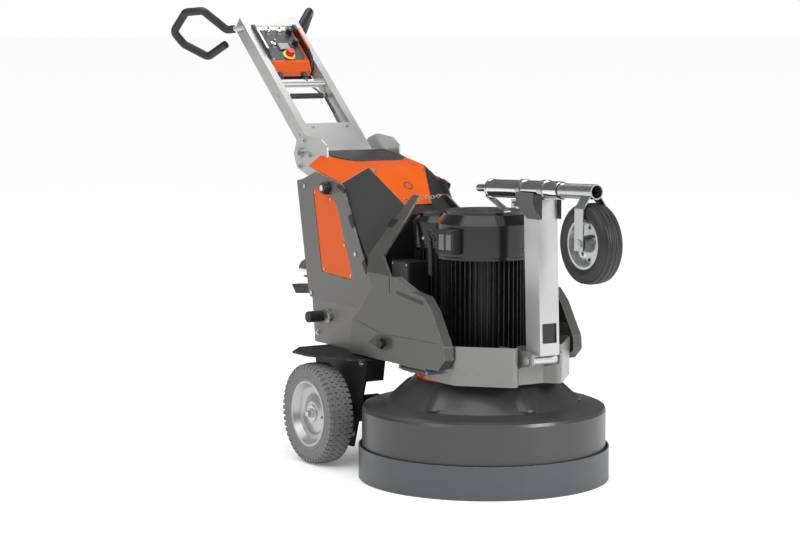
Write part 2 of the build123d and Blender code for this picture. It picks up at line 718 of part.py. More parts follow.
HOUSING_TOP = HOUSING_BOTTOM + HOUSING_HEIGHT
HOUSING_SMALL = 85.0
HUB_R = 62.0
HEAD_SHAFT_R = 19.0
with BuildPart() as gear_housing:
    add(egg(HOUSING_TOP, HOUSING_BOTTOM, HOUSING_R, HOUSING_SMALL))
    add(egg(HOUSING_TOP - 4, HOUSING_BOTTOM + 5, HOUSING_R - 8, HOUSING_SMALL - 8), mode=Mode.SUBTRACT)
    with Locations((HEAD_X, 0, HOUSING_BOTTOM + 2.5)):
        Cylinder(HUB_R + RUNNING, 6, mode=Mode.SUBTRACT)
    with Locations((HEAD_X, 0, HOUSING_TOP - 2)):
        Cylinder(SPINDLE_R + 3, 6, mode=Mode.SUBTRACT)
    with Locations((HEAD_X - HEAD_MOTOR_BACK, 0, HOUSING_TOP - 2)):
        Cylinder(HEAD_SHAFT_R + 3, 6, mode=Mode.SUBTRACT)
save(gear_housing, "gear_housing")

# ---- Apron: the sheet-metal body of the head, with the plate the motors stand on ------------
APRON_TOP = 492.0
APRON_BOTTOM = 360.0
APRON_ROUND = 18.0
WING_PIN_R = 5.0
APRON_THICK = 4.0
PLATE_TOP = HOUSING_TOP + 12
APRON_CORNER = (684.0, 239.0)
APRON_FRONT = (837.0, 90.0)
APRON_RECESS = (790.0, 50.0)
with BuildPart() as apron:
    with BuildSketch(Plane.XY.offset(APRON_BOTTOM)) as apron_face:
        with BuildLine():
            Polyline(
                (AXLE_X + 500, -239),
                (AXLE_X + APRON_CORNER[0], -APRON_CORNER[1]),
                (AXLE_X + APRON_FRONT[0], -APRON_FRONT[1]),
                (AXLE_X + APRON_RECESS[0], -APRON_RECESS[1]),
                (AXLE_X + APRON_RECESS[0], APRON_RECESS[1]),
                (AXLE_X + APRON_FRONT[0], APRON_FRONT[1]),
                (AXLE_X + APRON_CORNER[0], APRON_CORNER[1]),
                (AXLE_X + 500, 239),
                (AXLE_X + 360, 239),
                (AXLE_X + 175, 190),
                (AXLE_X + 175, -190),
                (AXLE_X + 360, -239),
                close=True,
            )
        make_face()
        for x, y in (APRON_CORNER, APRON_FRONT):
            for side in (1, -1):
                corner = Vector(AXLE_X + x, side * y, APRON_BOTTOM)
                fillet(apron_face.vertices().sort_by_distance(corner)[0], APRON_ROUND)
    extrude(amount=APRON_TOP - APRON_BOTTOM)
    for low, high in ((APRON_BOTTOM - 1, HOUSING_TOP), (PLATE_TOP, APRON_TOP + 1)):
        with BuildSketch(Plane.XY.offset(low)):
            add(apron_face.sketch.moved(Location((0, 0, -APRON_BOTTOM))))
            offset(amount=-APRON_THICK, kind=Kind.INTERSECTION, mode=Mode.REPLACE)
        extrude(amount=high - low, mode=Mode.SUBTRACT)
    # behind the sides only the plate is left
    for low, high in ((APRON_BOTTOM - 1, HOUSING_TOP), (PLATE_TOP, APRON_TOP + 1)):
        with Locations((AXLE_X + 300, 0, (low + high) / 2)):
            Box(400, 600, high - low, mode=Mode.SUBTRACT)
    for x, hole in ((HEAD_X, SPINDLE_R + 3), (HEAD_X - HEAD_MOTOR_BACK, HEAD_SHAFT_R + 3)):
        with Locations((x, 0, HOUSING_TOP + 6)):
            Cylinder(hole, 14, mode=Mode.SUBTRACT)
    for side in (1, -1):
        # lugs of the float hinge
        near, far = (HEAD_LUG[0], HEAD_LUG[1]) if side > 0 else (-HEAD_LUG[1], -HEAD_LUG[0])
        side_sheet(from_axle((190, 390), (245, 390), (245, 440), (232, 450), (200, 450), (190, 440)), near, far)
        bar_y(FLOAT_X, FLOAT_Z, near, far, FLOAT_PIN_R + RUNNING, Mode.SUBTRACT)
        # cheeks that carry the post's hinge
        near, far = (52, 62) if side > 0 else (-62, -52)
        side_sheet(from_axle((690, 392), (880, 438), (882, 474), (850, 480), (690, 480)), near, far)
        bar_y(POST_X, POST_Z, near, far, POST_PIN_R + RUNNING, Mode.SUBTRACT)
        # lugs and pin of the weight's hinge
        with Locations((AXLE_X + 398, side * 257, 390), (AXLE_X + 570, side * 257, 390)):
            Box(12, 40, 12)
        with Locations((AXLE_X + 484, side * WING_HINGE[0], WING_HINGE[1])):
            Cylinder(WING_PIN_R, 184, rotation=(0, 90, 0))
save(apron, "apron")

# ---- Motors -------------------------------------------------------------------------------


def motor(x, body_r, body_top, cowl_r, shoulder, top_r, cowl_top, shaft_r):
    """Upright motor's housing and its fan cowl, which is straight up to its shoulder."""
    with BuildPart() as housing:
        ring_z(x, 0, PLATE_TOP, PLATE_TOP + 14, body_r * 1.08, 0)
        ring_z(x, 0, PLATE_TOP + 14, body_top, body_r, 0)
        with Locations((x, 0, (PLATE_TOP + 40 + body_top - 10) / 2)):
            Cylinder(body_r - 12, body_top - 50 - PLATE_TOP, mode=Mode.SUBTRACT)
        with Locations((x, 0, PLATE_TOP + 30)):
            Cylinder(shaft_r + RUNNING, 80, mode=Mode.SUBTRACT)
    with BuildPart() as cowl:
        with BuildSketch(Plane(origin=(x, 0, 0), x_dir=(1, 0, 0), z_dir=(0, -1, 0))):
            with BuildLine():
                Polyline(
                    (body_r + 0.5, body_top - 24),
                    (cowl_r, body_top - 18),
                    (cowl_r, shoulder),
                    (top_r, cowl_top - 10),
                    (top_r, cowl_top),
                    (0, cowl_top),
                    (0, cowl_top - SHEET),
                    (top_r - SHEET, cowl_top - SHEET),
                    (top_r - SHEET, cowl_top - 12),
                    (cowl_r - SHEET, shoulder - 1),
                    (cowl_r - SHEET, body_top - 15),
                    (body_r + 0.5, body_top - 21),
                    close=True,
                )
            make_face()
        revolve(axis=Axis((x, 0, 0), (0, 0, 1)))
    return housing, cowl


MAIN_BODY_TOP = 784.0
MAIN_SHOULDER = 885.0
MAIN_TOP_R = 138.0
MAIN_TOP = 928.0
HEAD_BODY_TOP = 800.0
HEAD_SHOULDER = 872.0
HEAD_TOP_R = 80.0
HEAD_TOP = 902.0
main_motor_housing, main_motor_cowl = motor(
    HEAD_X, MOTOR_BODY_R, MAIN_BODY_TOP, MOTOR_COWL_R, MAIN_SHOULDER, MAIN_TOP_R, MAIN_TOP, SPINDLE_R
)
save(main_motor_housing, "main_motor_housing")
save(main_motor_cowl, "main_motor_cowl")
head_motor_housing, head_motor_cowl = motor(
    HEAD_X - HEAD_MOTOR_BACK, HEAD_MOTOR_BODY_R, HEAD_BODY_TOP,
    HEAD_MOTOR_COWL_R, HEAD_SHOULDER, HEAD_TOP_R, HEAD_TOP, HEAD_SHAFT_R,
)
save(head_motor_housing, "head_motor_housing")
save(head_motor_cowl, "head_motor_cowl")

with BuildPart() as motor_boxes:
    # terminal box on the head motor's right side
    with Locations((HEAD_X - HEAD_MOTOR_BACK, -125, 668)):
        Box(110, 89.8, 135)
        fillet(motor_boxes.edges().filter_by(Axis.Z), 8)
    # switch box on the main motor's cowl, at its right
    away = Location((HEAD_X, 0, 830), (0, 0, 285))
    with Locations(away * Location((MOTOR_COWL_R + 18.2, 0, 0))):
        Box(36, 78, 84)
    # capped socket on the cowl's rear left
    with Locations(Location((HEAD_X, 0, 848), (0, 0, 131)) * Location((MOTOR_COWL_R + 15.2, 0, 0))):
        Box(30, 44, 70)
save(motor_boxes, "motor_boxes")

# ---- Inside the head: rotors, carrier, satellites and belts ---------------------------------
SUN_R = 187.0
SUN_LOW = 112.0
PULLEY_R = 50.0
BELT_THICK = 8.0
CARRIER_PULLEY_R = 150.0
PULLEY_LOW = 360.0
PULLEY_HEIGHT = 16.0

with BuildPart() as main_rotor:
    ring_z(HEAD_X, 0, SUN_LOW, MAIN_BODY_TOP - 60, SPINDLE_R, 0)
    ring_z(HEAD_X, 0, SUN_LOW, SUN_LOW + 26, SUN_R, 0)
    ring_z(HEAD_X, 0, PLATE_TOP + 70, MAIN_BODY_TOP - 80, MOTOR_BODY_R - 30, 0)
save(main_rotor, "main_rotor")

with BuildPart() as head_rotor:
    motor_x = HEAD_X - HEAD_MOTOR_BACK
    ring_z(motor_x, 0, PULLEY_LOW, HEAD_BODY_TOP - 60, HEAD_SHAFT_R, 0)
    ring_z(motor_x, 0, PULLEY_LOW, PULLEY_LOW + PULLEY_HEIGHT, PULLEY_R, 0)
    ring_z(motor_x, 0, PLATE_TOP + 70, HEAD_BODY_TOP - 80, HEAD_MOTOR_BODY_R - 28, 0)
save(head_rotor, "head_rotor")

DRUM_R = 398.0
SATELLITES = [
    (HEAD_X + ORBIT_R * cos(radians(turn)), ORBIT_R * sin(radians(turn))) for turn in (0, 120, 240)
]
with BuildPart() as carrier:
    ring_z(HEAD_X, 0, 62, 92, DRUM_R, 0)
    ring_z(HEAD_X, 0, 92, 200, DRUM_R, DRUM_R - 5)
    ring_z(HEAD_X, 0, 200, 212, DRUM_R, 0)
    ring_z(HEAD_X, 0, 212, PULLEY_LOW, HUB_R, 0)
    ring_z(HEAD_X, 0, PULLEY_LOW, PULLEY_LOW + PULLEY_HEIGHT, CARRIER_PULLEY_R, 0)
    with Locations((HEAD_X, 0, 290)):
        Cylinder(HUB_R - 18, 200, mode=Mode.SUBTRACT)
    for x, y in SATELLITES:
        with Locations((x, y, 77)):
            Cylinder(SPINDLE_R + RUNNING, 40, mode=Mode.SUBTRACT)
save(carrier, "carrier")

for number, (x, y) in enumerate(SATELLITES, start=1):
    with BuildPart() as satellite:
        ring_z(x, y, 22, 34, SATELLITE_R, 0)
        ring_z(x, y, 34, 142, SPINDLE_R, 0)
        ring_z(x, y, 108, 142, PULLEY_R, 0)
        with Locations((x, y, 17)):
            with PolarLocations(96, 6):
                Cylinder(32, 10)
        with Locations((x, y, 6)):
            with PolarLocations(96, 6):
                with GridLocations(0, 30, 1, 2):
                    Box(40, 14, 12)
    save(satellite, f"satellite_{number}")


def belt_loop(circles, low, high):
    """Flat belt round several pulleys given as (x, y, radius)."""
    with BuildPart() as loop:
        for grow, mode in ((GAP + BELT_THICK, Mode.ADD), (GAP, Mode.SUBTRACT)):
            with BuildSketch(Plane.XY.offset(low)) as outline:
                for x, y, radius in circles:
                    with Locations((x, y)):
                        Circle(radius + grow)
                make_hull()
            extrude(outline.sketch, amount=high - low, mode=mode)
    return loop


satellite_belt = belt_loop([(x, y, PULLEY_R) for x, y in SATELLITES], SUN_LOW + 1, SUN_LOW + 25)
save(satellite_belt, "satellite_belt")
carrier_belt = belt_loop(
    [(HEAD_X, 0, CARRIER_PULLEY_R), (HEAD_X - HEAD_MOTOR_BACK, 0, PULLEY_R)],
    PULLEY_LOW + 1,
    PULLEY_LOW + PULLEY_HEIGHT - 1,
)
save(carrier_belt, "carrier_belt")

# ---- Post with the jockey wheel ------------------------------------------------------------
LEAN = radians(POST_LEAN)
UP = Vector(-sin(LEAN), 0, cos(LEAN))
AHEAD = Vector(cos(LEAN), 0, sin(LEAN))
POST_FOOT = Vector(POST_X, 0, POST_Z)
POST_SIDE = Plane(origin=POST_FOOT, x_dir=AHEAD, z_dir=(0, -1, 0))


def post_slab(outline, near, far, mode=Mode.ADD):
    """Plate given as (ahead of the hinge, above it) between two distances to the right."""
    with BuildSketch(POST_SIDE.offset(near)) as face:
        with BuildLine():
            Polyline(*outline, close=True)
        make_face()
    extrude(face.sketch, amount=far - near, mode=mode)


def tube_round(start, end, outer, inner):
    """Round tube parallel to the jockey tube, from one distance ahead to another."""
    with BuildSketch(Plane(origin=POST_FOOT + UP * TUBE_ABOVE + AHEAD * start, z_dir=AHEAD)) as face:
        Circle(outer)
        if inner:
            Circle(inner, mode=Mode.SUBTRACT)
    extrude(face.sketch, amount=end - start)


with BuildPart() as post:
    side = POST_DEPTH / 2
    wall = POST_WALL
    post_slab([(-side, 16), (side, 16), (side, POST_TOP), (-side, POST_TOP)], -POST_WIDTH / 2, POST_WIDTH / 2)
    post_slab(
        [(-side + wall, 0), (side - wall, 0), (side - wall, POST_TOP - wall), (-side + wall, POST_TOP - wall)],
        -POST_WIDTH / 2 + wall,
        POST_WIDTH / 2 - wall,
        Mode.SUBTRACT,
    )
    # opening in the front face for the crank's lock
    with Locations(Plane(origin=POST_FOOT + AHEAD * side + UP * 90, x_dir=(0, 1, 0), z_dir=AHEAD)):
        Box(58, 66, 20, mode=Mode.SUBTRACT)
    # folded bracket that carries the tube, and its saddle
    post_slab([(-114, 527), (side, 527), (side, 533.5), (-114, 533.5)], -POST_WIDTH / 2, POST_WIDTH / 2)
    post_slab([(-114, 505), (-108, 505), (-108, 530), (-114, 530)], -POST_WIDTH / 2, POST_WIDTH / 2)
    bar_y(POST_X, POST_Z, -52 + GAP, 52 - GAP, 17)
    post_slab([(-12, 5), (12, 5), (12, 30), (-12, 30)], -POST_WIDTH / 2, POST_WIDTH / 2)
    bar_y(POST_X, POST_Z, -68, 68, POST_PIN_R)
save(post, "post")

with BuildPart() as jockey_outer_tube:
    tube_round(-TUBE_TAIL, TUBE_NOSE, TUBE_R, TUBE_R - TUBE_WALL)
    tube_round(-TUBE_TAIL, -TUBE_TAIL + 5, TUBE_R + 2, 10 + GAP)
save(jockey_outer_tube, "jockey_outer_tube")

HUB_AHEAD, HUB_ABOVE = JOCKEY_HUB
HUB_SPOT = POST_FOOT + AHEAD * HUB_AHEAD + UP * HUB_ABOVE
FORK_IN = 46.0
FORK_OUT = 50.0
FORK_WIDTH = 46.0
FORK_BEND = 975.0
FORK_TOP = 1013.0
FORK_JOIN = 20.0
with BuildPart() as jockey_inner_tube:
    tube_round(-170, INNER_NOSE, INNER_TUBE_R, INNER_TUBE_R - INNER_TUBE_WALL)
    for side in (1, -1):
        # fork leg, bent inwards over the tyre to meet the tube
        with BuildSketch(Plane.YZ.offset(HUB_SPOT.X - FORK_WIDTH / 2)) as leg:
            with BuildLine():
                Polyline(
                    *[
                        (side * y, z)
                        for y, z in (
                            (FORK_OUT, HUB_SPOT.Z - 22), (FORK_OUT, FORK_BEND), (FORK_JOIN + 3, FORK_TOP),
                            (FORK_JOIN - 2, FORK_TOP), (FORK_IN, FORK_BEND - 2), (FORK_IN, HUB_SPOT.Z - 22),
                        )
                    ],
                    close=True,
                )
            make_face()
        extrude(leg.sketch, amount=FORK_WIDTH)
    bar_y(HUB_SPOT.X, HUB_SPOT.Z, -58, 58, JOCKEY_AXLE_R)
save(jockey_inner_tube, "jockey_inner_tube")

with BuildPart() as jockey_spindle:
    tube_round(-SPINDLE_TAIL, 60, 10, 0)
    tube_round(-SPINDLE_TAIL, -TUBE_TAIL - 6, 13, 0)
save(jockey_spindle, "jockey_spindle")

HUB_LINE = Axis((HUB_SPOT.X, 0, HUB_SPOT.Z), (0, 1, 0))
HUB_FACE = Plane(origin=(HUB_SPOT.X, 0, HUB_SPOT.Z), x_dir=(0, 1, 0), z_dir=(1, 0, 0))
with BuildPart() as jockey_rim:
    with BuildSketch(HUB_FACE):
        with BuildLine():
            Polyline(
                (-40, JOCKEY_AXLE_R + RUNNING), (40, JOCKEY_AXLE_R + RUNNING), (40, 24), (6, 30), (6, 66),
                (34, 74), (34, JOCKEY_RIM_R), (-34, JOCKEY_RIM_R), (-34, 74), (-6, 66), (-6, 30),
                (-40, 24), close=True,
            )
        make_face()
    revolve(axis=HUB_LINE)
save(jockey_rim, "jockey_rim")

with BuildPart() as jockey_tyre:
    with BuildSketch(HUB_FACE):
        with BuildLine():
            Line((-34, JOCKEY_RIM_R), (34, JOCKEY_RIM_R))
            ThreePointArc((34, JOCKEY_RIM_R), (JOCKEY_WIDTH / 2, 106), (29, 125))
            ThreePointArc((29, 125), (0, JOCKEY_R), (-29, 125))
            ThreePointArc((-29, 125), (-JOCKEY_WIDTH / 2, 106), (-34, JOCKEY_RIM_R))
        make_face()
    revolve(axis=HUB_LINE)
save(jockey_tyre, "jockey_tyre")

# ---- Weights ------------------------------------------------------------------------------
WING = from_axle(
    (293, 694), (366, 698), (484, 658), (566, 648), (614, 606), (659, 537), (689, 493), (693, 447),
    (651, 410), (475, 400), (60, 403), (98, 532), (136, 554), (223, 645),
)
KNUCKLE_R = 8.5
with BuildPart() as weight_right:
    side_sheet(WING, WING_OUTER - WING_SKIN, WING_OUTER, WING_ROUND)
    # rim folded inwards round the edge
    with BuildSketch(Plane.XZ.offset(WING_INNER)) as rim_face:
        with BuildLine():
            Polyline(*WING, close=True)
        make_face()
        fillet(rim_face.vertices(), WING_ROUND)
        offset(amount=-WING_SKIN, mode=Mode.SUBTRACT)
    extrude(amount=WING_OUTER - WING_INNER - 1)
    # cast block inside, in the lower half
    side_sheet(
        from_axle((110, 407), (640, 412), (680, 450), (640, 530), (140, 530)), WING_INNER + 4, WING_OUTER - 3
    )
    # arm, folded up and inwards
    with BuildSketch(Plane.YZ.offset(AXLE_X + 140)) as arm_face:
        with BuildLine():
            Polyline(
                (-278, 645), (-278, 700), (-248, 758), (-60, 960), (-60, 952), (-242, 755), (-270, 699),
                (-270, 645), close=True,
            )
        make_face()
    extrude(amount=200)
    side_sheet(
        from_axle((130, 640), (223, 640), (150, 757), (136, 957), (136, 970), (130, 970)),
        50, 290, mode=Mode.SUBTRACT,
    )
    side_sheet(
        from_axle((185, 970), (185, 957), (244, 757), (340, 698), (340, 640), (346, 640), (346, 970)),
        50, 290, mode=Mode.SUBTRACT,
    )
    with Locations((AXLE_X + 484, -WING_HINGE[0], WING_HINGE[1])):
        Cylinder(KNUCKLE_R, 150, rotation=(0, 90, 0))
    with Locations((AXLE_X + 484, -WING_HINGE[0], WING_HINGE[1] + 10)):
        Box(150, 7, 14)
    with Locations((AXLE_X + 484, -WING_HINGE[0], WING_HINGE[1])):
        Cylinder(WING_PIN_R + RUNNING, 160, rotation=(0, 90, 0), mode=Mode.SUBTRACT)
save(weight_right, "weight_right")
with BuildPart() as weight_left:
    add(weight_right.part)
    mirror(about=Plane.XZ)
    split(bisect_by=Plane.XZ, keep=Keep.BOTTOM)
save(weight_left, "weight_left")
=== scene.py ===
"""Walk-behind planetary floor grinder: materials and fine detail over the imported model."""
import json
import math

import bmesh
import bpy
from mathutils import Matrix, Vector


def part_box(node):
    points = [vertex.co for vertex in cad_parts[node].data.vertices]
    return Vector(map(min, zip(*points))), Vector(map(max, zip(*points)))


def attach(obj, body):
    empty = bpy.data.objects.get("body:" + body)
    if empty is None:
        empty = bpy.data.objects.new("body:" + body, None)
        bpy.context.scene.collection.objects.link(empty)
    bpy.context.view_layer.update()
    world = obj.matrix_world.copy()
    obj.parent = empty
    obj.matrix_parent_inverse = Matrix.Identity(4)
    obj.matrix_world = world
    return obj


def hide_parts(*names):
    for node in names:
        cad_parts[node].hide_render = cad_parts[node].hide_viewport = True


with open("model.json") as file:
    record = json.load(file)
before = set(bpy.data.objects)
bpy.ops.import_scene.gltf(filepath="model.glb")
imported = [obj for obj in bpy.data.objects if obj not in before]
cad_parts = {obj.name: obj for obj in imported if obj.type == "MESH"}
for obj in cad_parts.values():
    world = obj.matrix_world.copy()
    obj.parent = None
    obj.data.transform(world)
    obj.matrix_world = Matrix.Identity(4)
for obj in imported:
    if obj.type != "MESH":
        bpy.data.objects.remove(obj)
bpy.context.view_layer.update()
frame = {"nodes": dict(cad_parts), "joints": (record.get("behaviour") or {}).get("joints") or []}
nodes = frame["nodes"]
joints = {j["name"]: j for j in frame["joints"]}

# ---- Studio -------------------------------------------------------------------------------
# A pale seamless floor and three large soft lights. The camera stands low at the machine's
# front right corner with a long lens, so its verticals stay upright.
camera_data = bpy.data.cameras.new("camera")
camera_data.lens = 99.74
camera_data.sensor_width = 36.0
camera = bpy.data.objects.new("camera", camera_data)
camera.location = (6.8256, -4.2793, 1.5396)
camera.rotation_euler = Vector((-0.84316, 0.52720, -0.10559)).to_track_quat("-Z", "Y").to_euler()
bpy.context.scene.collection.objects.link(camera)
bpy.context.scene.camera = camera

floor_mesh = bmesh.new()
bmesh.ops.create_grid(floor_mesh, x_segments=1, y_segments=1, size=400)
floor_data = bpy.data.meshes.new("floor")
floor_mesh.to_mesh(floor_data)
floor_mesh.free()
floor = bpy.data.objects.new("floor", floor_data)
bpy.context.scene.collection.objects.link(floor)
floor_paint = bpy.data.materials.new("pale floor")
floor_paint.use_nodes = True
floor_shader = floor_paint.node_tree.nodes["Principled BSDF"]
floor_shader.inputs["Base Color"].default_value = (1.0, 1.0, 1.0, 1)
floor_shader.inputs["Emission Color"].default_value = (1.0, 1.0, 1.0, 1)
floor_shader.inputs["Emission Strength"].default_value = 0.13
floor_shader.inputs["Roughness"].default_value = 0.55
floor_data.materials.append(floor_paint)

world = bpy.data.worlds.new("studio")
world.use_nodes = True
# The backdrop looks white to the camera, and lights the machine more softly.
backdrop = world.node_tree.nodes["Background"]
backdrop.inputs["Color"].default_value = (1, 1, 1, 1)
seen = world.node_tree.nodes.new("ShaderNodeLightPath")
soft = world.node_tree.nodes.new("ShaderNodeMapRange")
soft.inputs["To Min"].default_value = 0.50
soft.inputs["To Max"].default_value = 0.16
world.node_tree.links.new(seen.outputs["Is Glossy Ray"], soft.inputs["Value"])
glow = world.node_tree.nodes.new("ShaderNodeMapRange")
glow.inputs["To Max"].default_value = 1.0
world.node_tree.links.new(soft.outputs["Result"], glow.inputs["To Min"])
world.node_tree.links.new(seen.outputs["Is Camera Ray"], glow.inputs["Value"])
world.node_tree.links.new(glow.outputs["Result"], backdrop.inputs["Strength"])
bpy.context.scene.world = world
bpy.context.scene.view_settings.view_transform = "Standard"

sun_data = bpy.data.lights.new("overhead bank", "SUN")
sun_data.energy = 1.75
sun_data.angle = math.radians(70)
sun = bpy.data.objects.new("overhead bank", sun_data)
sun.rotation_euler = Vector((-0.25, 0.35, -1.0)).to_track_quat("-Z", "Y").to_euler()
bpy.context.scene.collection.objects.link(sun)
for place, size, power in (
    ((1.0, -4.5, 3.4), 1.8, 45),
    ((4.6, 1.6, 2.6), 1.5, 125),
    ((-2.0, 1.0, 5.0), 2.5, 60),
):
    lamp_data = bpy.data.lights.new("softbox", "AREA")
    lamp_data.size = size
    lamp_data.energy = power
    lamp = bpy.data.objects.new("softbox", lamp_data)
    lamp.location = place
    lamp.rotation_euler = (Vector((0.1, 0, 0.6)) - Vector(place)).to_track_quat("-Z", "Y").to_euler()
    bpy.context.scene.collection.objects.link(lamp)

# ---- Drive wheels -------------------------------------------------------------------------
# Two grey block-tread tyres on pressed silver rims, each held by a nut on a gearmotor's shaft.
# Every finish and repeated shape is built from the helpers set up here, where they first serve.


def new_group(name, inputs, outputs):
    """Shader group with float inputs and outputs; gives back the tree and its two ends."""
    tree = bpy.data.node_groups.new(name, "ShaderNodeTree")
    for label, value in inputs.items():
        socket = tree.interface.new_socket(label, in_out="INPUT", socket_type="NodeSocketFloat")
        socket.default_value = value
    for label in outputs:
        tree.interface.new_socket(label, in_out="OUTPUT", socket_type="NodeSocketFloat")
    return tree, tree.nodes.new("NodeGroupInput"), tree.nodes.new("NodeGroupOutput")


def sum_node(tree, operation, first, second=None):
    """Math node whose inputs are sockets or plain numbers."""
    node = tree.nodes.new("ShaderNodeMath")
    node.operation = operation
    for socket, value in zip(node.inputs, (first, second)):
        if isinstance(value, (int, float)):
            socket.default_value = value
        elif value is not None:
            tree.links.new(value, socket)
    return node.outputs[0]


def noise_node(tree, scale, detail=4.0, stretch=None):
    """Noise read in object coordinates, its scale a socket or a number."""
    place = tree.nodes.new("ShaderNodeTexCoord").outputs["Object"]
    if stretch:
        mapping = tree.nodes.new("ShaderNodeMapping")
        mapping.inputs["Scale"].default_value = stretch
        tree.links.new(place, mapping.inputs["Vector"])
        place = mapping.outputs["Vector"]
    noise = tree.nodes.new("ShaderNodeTexNoise")
    noise.inputs["Detail"].default_value = detail
    tree.links.new(place, noise.inputs["Vector"])
    if isinstance(scale, (int, float)):
        noise.inputs["Scale"].default_value = scale
    else:
        tree.links.new(scale, noise.inputs["Scale"])
    return noise.outputs["Fac"]


# Rubbed edges: where a rounded normal leaves the true one, broken up by noise.
worn_edges, ends, out = new_group("worn edges", {"Width": 0.002, "Amount": 0.5}, ["Mask"])
rounded = worn_edges.nodes.new("ShaderNodeBevel")
rounded.samples = 4
worn_edges.links.new(ends.outputs["Width"], rounded.inputs["Radius"])
geometry = worn_edges.nodes.new("ShaderNodeNewGeometry")
facing = worn_edges.nodes.new("ShaderNodeVectorMath")
facing.operation = "DOT_PRODUCT"
worn_edges.links.new(rounded.outputs["Normal"], facing.inputs[0])
worn_edges.links.new(geometry.outputs["Normal"], facing.inputs[1])
edge = sum_node(worn_edges, "SUBTRACT", 1.0, facing.outputs["Value"])
edge = sum_node(worn_edges, "MULTIPLY", edge, 9.0)
patches = sum_node(worn_edges, "GREATER_THAN", noise_node(worn_edges, 45.0), 0.46)
edge = sum_node(worn_edges, "MULTIPLY", edge, patches)
edge = sum_node(worn_edges, "MULTIPLY", edge, ends.outputs["Amount"])
worn_edges.links.new(sum_node(worn_edges, "MINIMUM", edge, 1.0), out.inputs["Mask"])

# Surface grain: a fine and a broad noise, for the coat's texture and its uneven shade.
fine_grain, ends, out = new_group("fine grain", {"Scale": 900.0}, ["Height", "Shade"])
fine_grain.links.new(noise_node(fine_grain, ends.outputs["Scale"], 2.0), out.inputs["Height"])
fine_grain.links.new(noise_node(fine_grain, 7.0, 6.0), out.inputs["Shade"])

# Concrete dust: settles on faces that look up, in soft patches.
stone_dust, ends, out = new_group("stone dust", {"Amount": 0.3}, ["Mask"])
geometry = stone_dust.nodes.new("ShaderNodeNewGeometry")
split = stone_dust.nodes.new("ShaderNodeSeparateXYZ")
stone_dust.links.new(geometry.outputs["Normal"], split.inputs["Vector"])
upward = sum_node(stone_dust, "MAXIMUM", split.outputs["Z"], 0.12)
cloud = sum_node(stone_dust, "MULTIPLY", noise_node(stone_dust, 11.0, 8.0), 1.5)
cloud = sum_node(stone_dust, "SUBTRACT", cloud, 0.35)
dusty = sum_node(stone_dust, "MULTIPLY", sum_node(stone_dust, "MAXIMUM", cloud, 0.0), upward)
dusty = sum_node(stone_dust, "MULTIPLY", dusty, ends.outputs["Amount"])
stone_dust.links.new(sum_node(stone_dust, "MINIMUM", dusty, 1.0), out.inputs["Mask"])


def finish(
    name, colour, rough, metal=0.0, grain=900.0, bump=0.08, wear=0.35, bare=(0.45, 0.44, 0.43),
    dust=0.25, coat=0.0, vary=0.10, width=0.002, shine=0.5,
):
    """Painted, plated, moulded or rubber surface with rubbed edges, grain and stone dust."""
    material = bpy.data.materials.new(name)
    material.use_nodes = True
    tree = material.node_tree
    shader = tree.nodes["Principled BSDF"]
    shader.inputs["Metallic"].default_value = metal
    shader.inputs["Coat Weight"].default_value = coat
    shader.inputs["Coat Roughness"].default_value = 0.12
    shader.inputs["Specular IOR Level"].default_value = shine

    grained = tree.nodes.new("ShaderNodeGroup")
    grained.node_tree = fine_grain
    grained.inputs["Scale"].default_value = grain
    shade = tree.nodes.new("ShaderNodeMapRange")
    shade.inputs["From Min"].default_value = 0.3
    shade.inputs["From Max"].default_value = 0.7
    shade.inputs["To Min"].default_value = 1.0 - vary
    shade.inputs["To Max"].default_value = 1.0 + vary
    tree.links.new(grained.outputs["Shade"], shade.inputs["Value"])
    toned = tree.nodes.new("ShaderNodeVectorMath")
    toned.operation = "SCALE"
    toned.inputs[0].default_value = colour
    tree.links.new(shade.outputs["Result"], toned.inputs["Scale"])

    last = toned.outputs["Vector"]
    for group, values, tint in (
        (worn_edges, {"Amount": wear, "Width": width}, bare),
        (stone_dust, {"Amount": dust}, (0.50, 0.48, 0.45)),
    ):
        mask = tree.nodes.new("ShaderNodeGroup")
        mask.node_tree = group
        for label, value in values.items():
            mask.inputs[label].default_value = value
        mix = tree.nodes.new("ShaderNodeMix")
        mix.data_type = "RGBA"
        mix.inputs["B"].default_value = (*tint, 1)
        tree.links.new(mask.outputs["Mask"], mix.inputs["Factor"])
        tree.links.new(last, mix.inputs["A"])
        last = mix.outputs["Result"]
    tree.links.new(last, shader.inputs["Base Color"])

    roughness = tree.nodes.new("ShaderNodeMapRange")
    roughness.inputs["From Min"].default_value = 0.3
    roughness.inputs["From Max"].default_value = 0.7
    roughness.inputs["To Min"].default_value = rough * 0.85
    roughness.inputs["To Max"].default_value = min(rough * 1.15, 1.0)
    tree.links.new(grained.outputs["Shade"], roughness.inputs["Value"])
    tree.links.new(roughness.outputs["Result"], shader.inputs["Roughness"])
    relief = tree.nodes.new("ShaderNodeBump")
    relief.inputs["Strength"].default_value = bump
    relief.inputs["Distance"].default_value = 0.001
    tree.links.new(grained.outputs["Height"], relief.inputs["Height"])
    tree.links.new(relief.outputs["Normal"], shader.inputs["Normal"])
    return material


def dress(material, *names):
    """Give CAD nodes a finish."""
    for name in names:
        data = nodes[name].data
        data.materials.clear()
        data.materials.append(material)


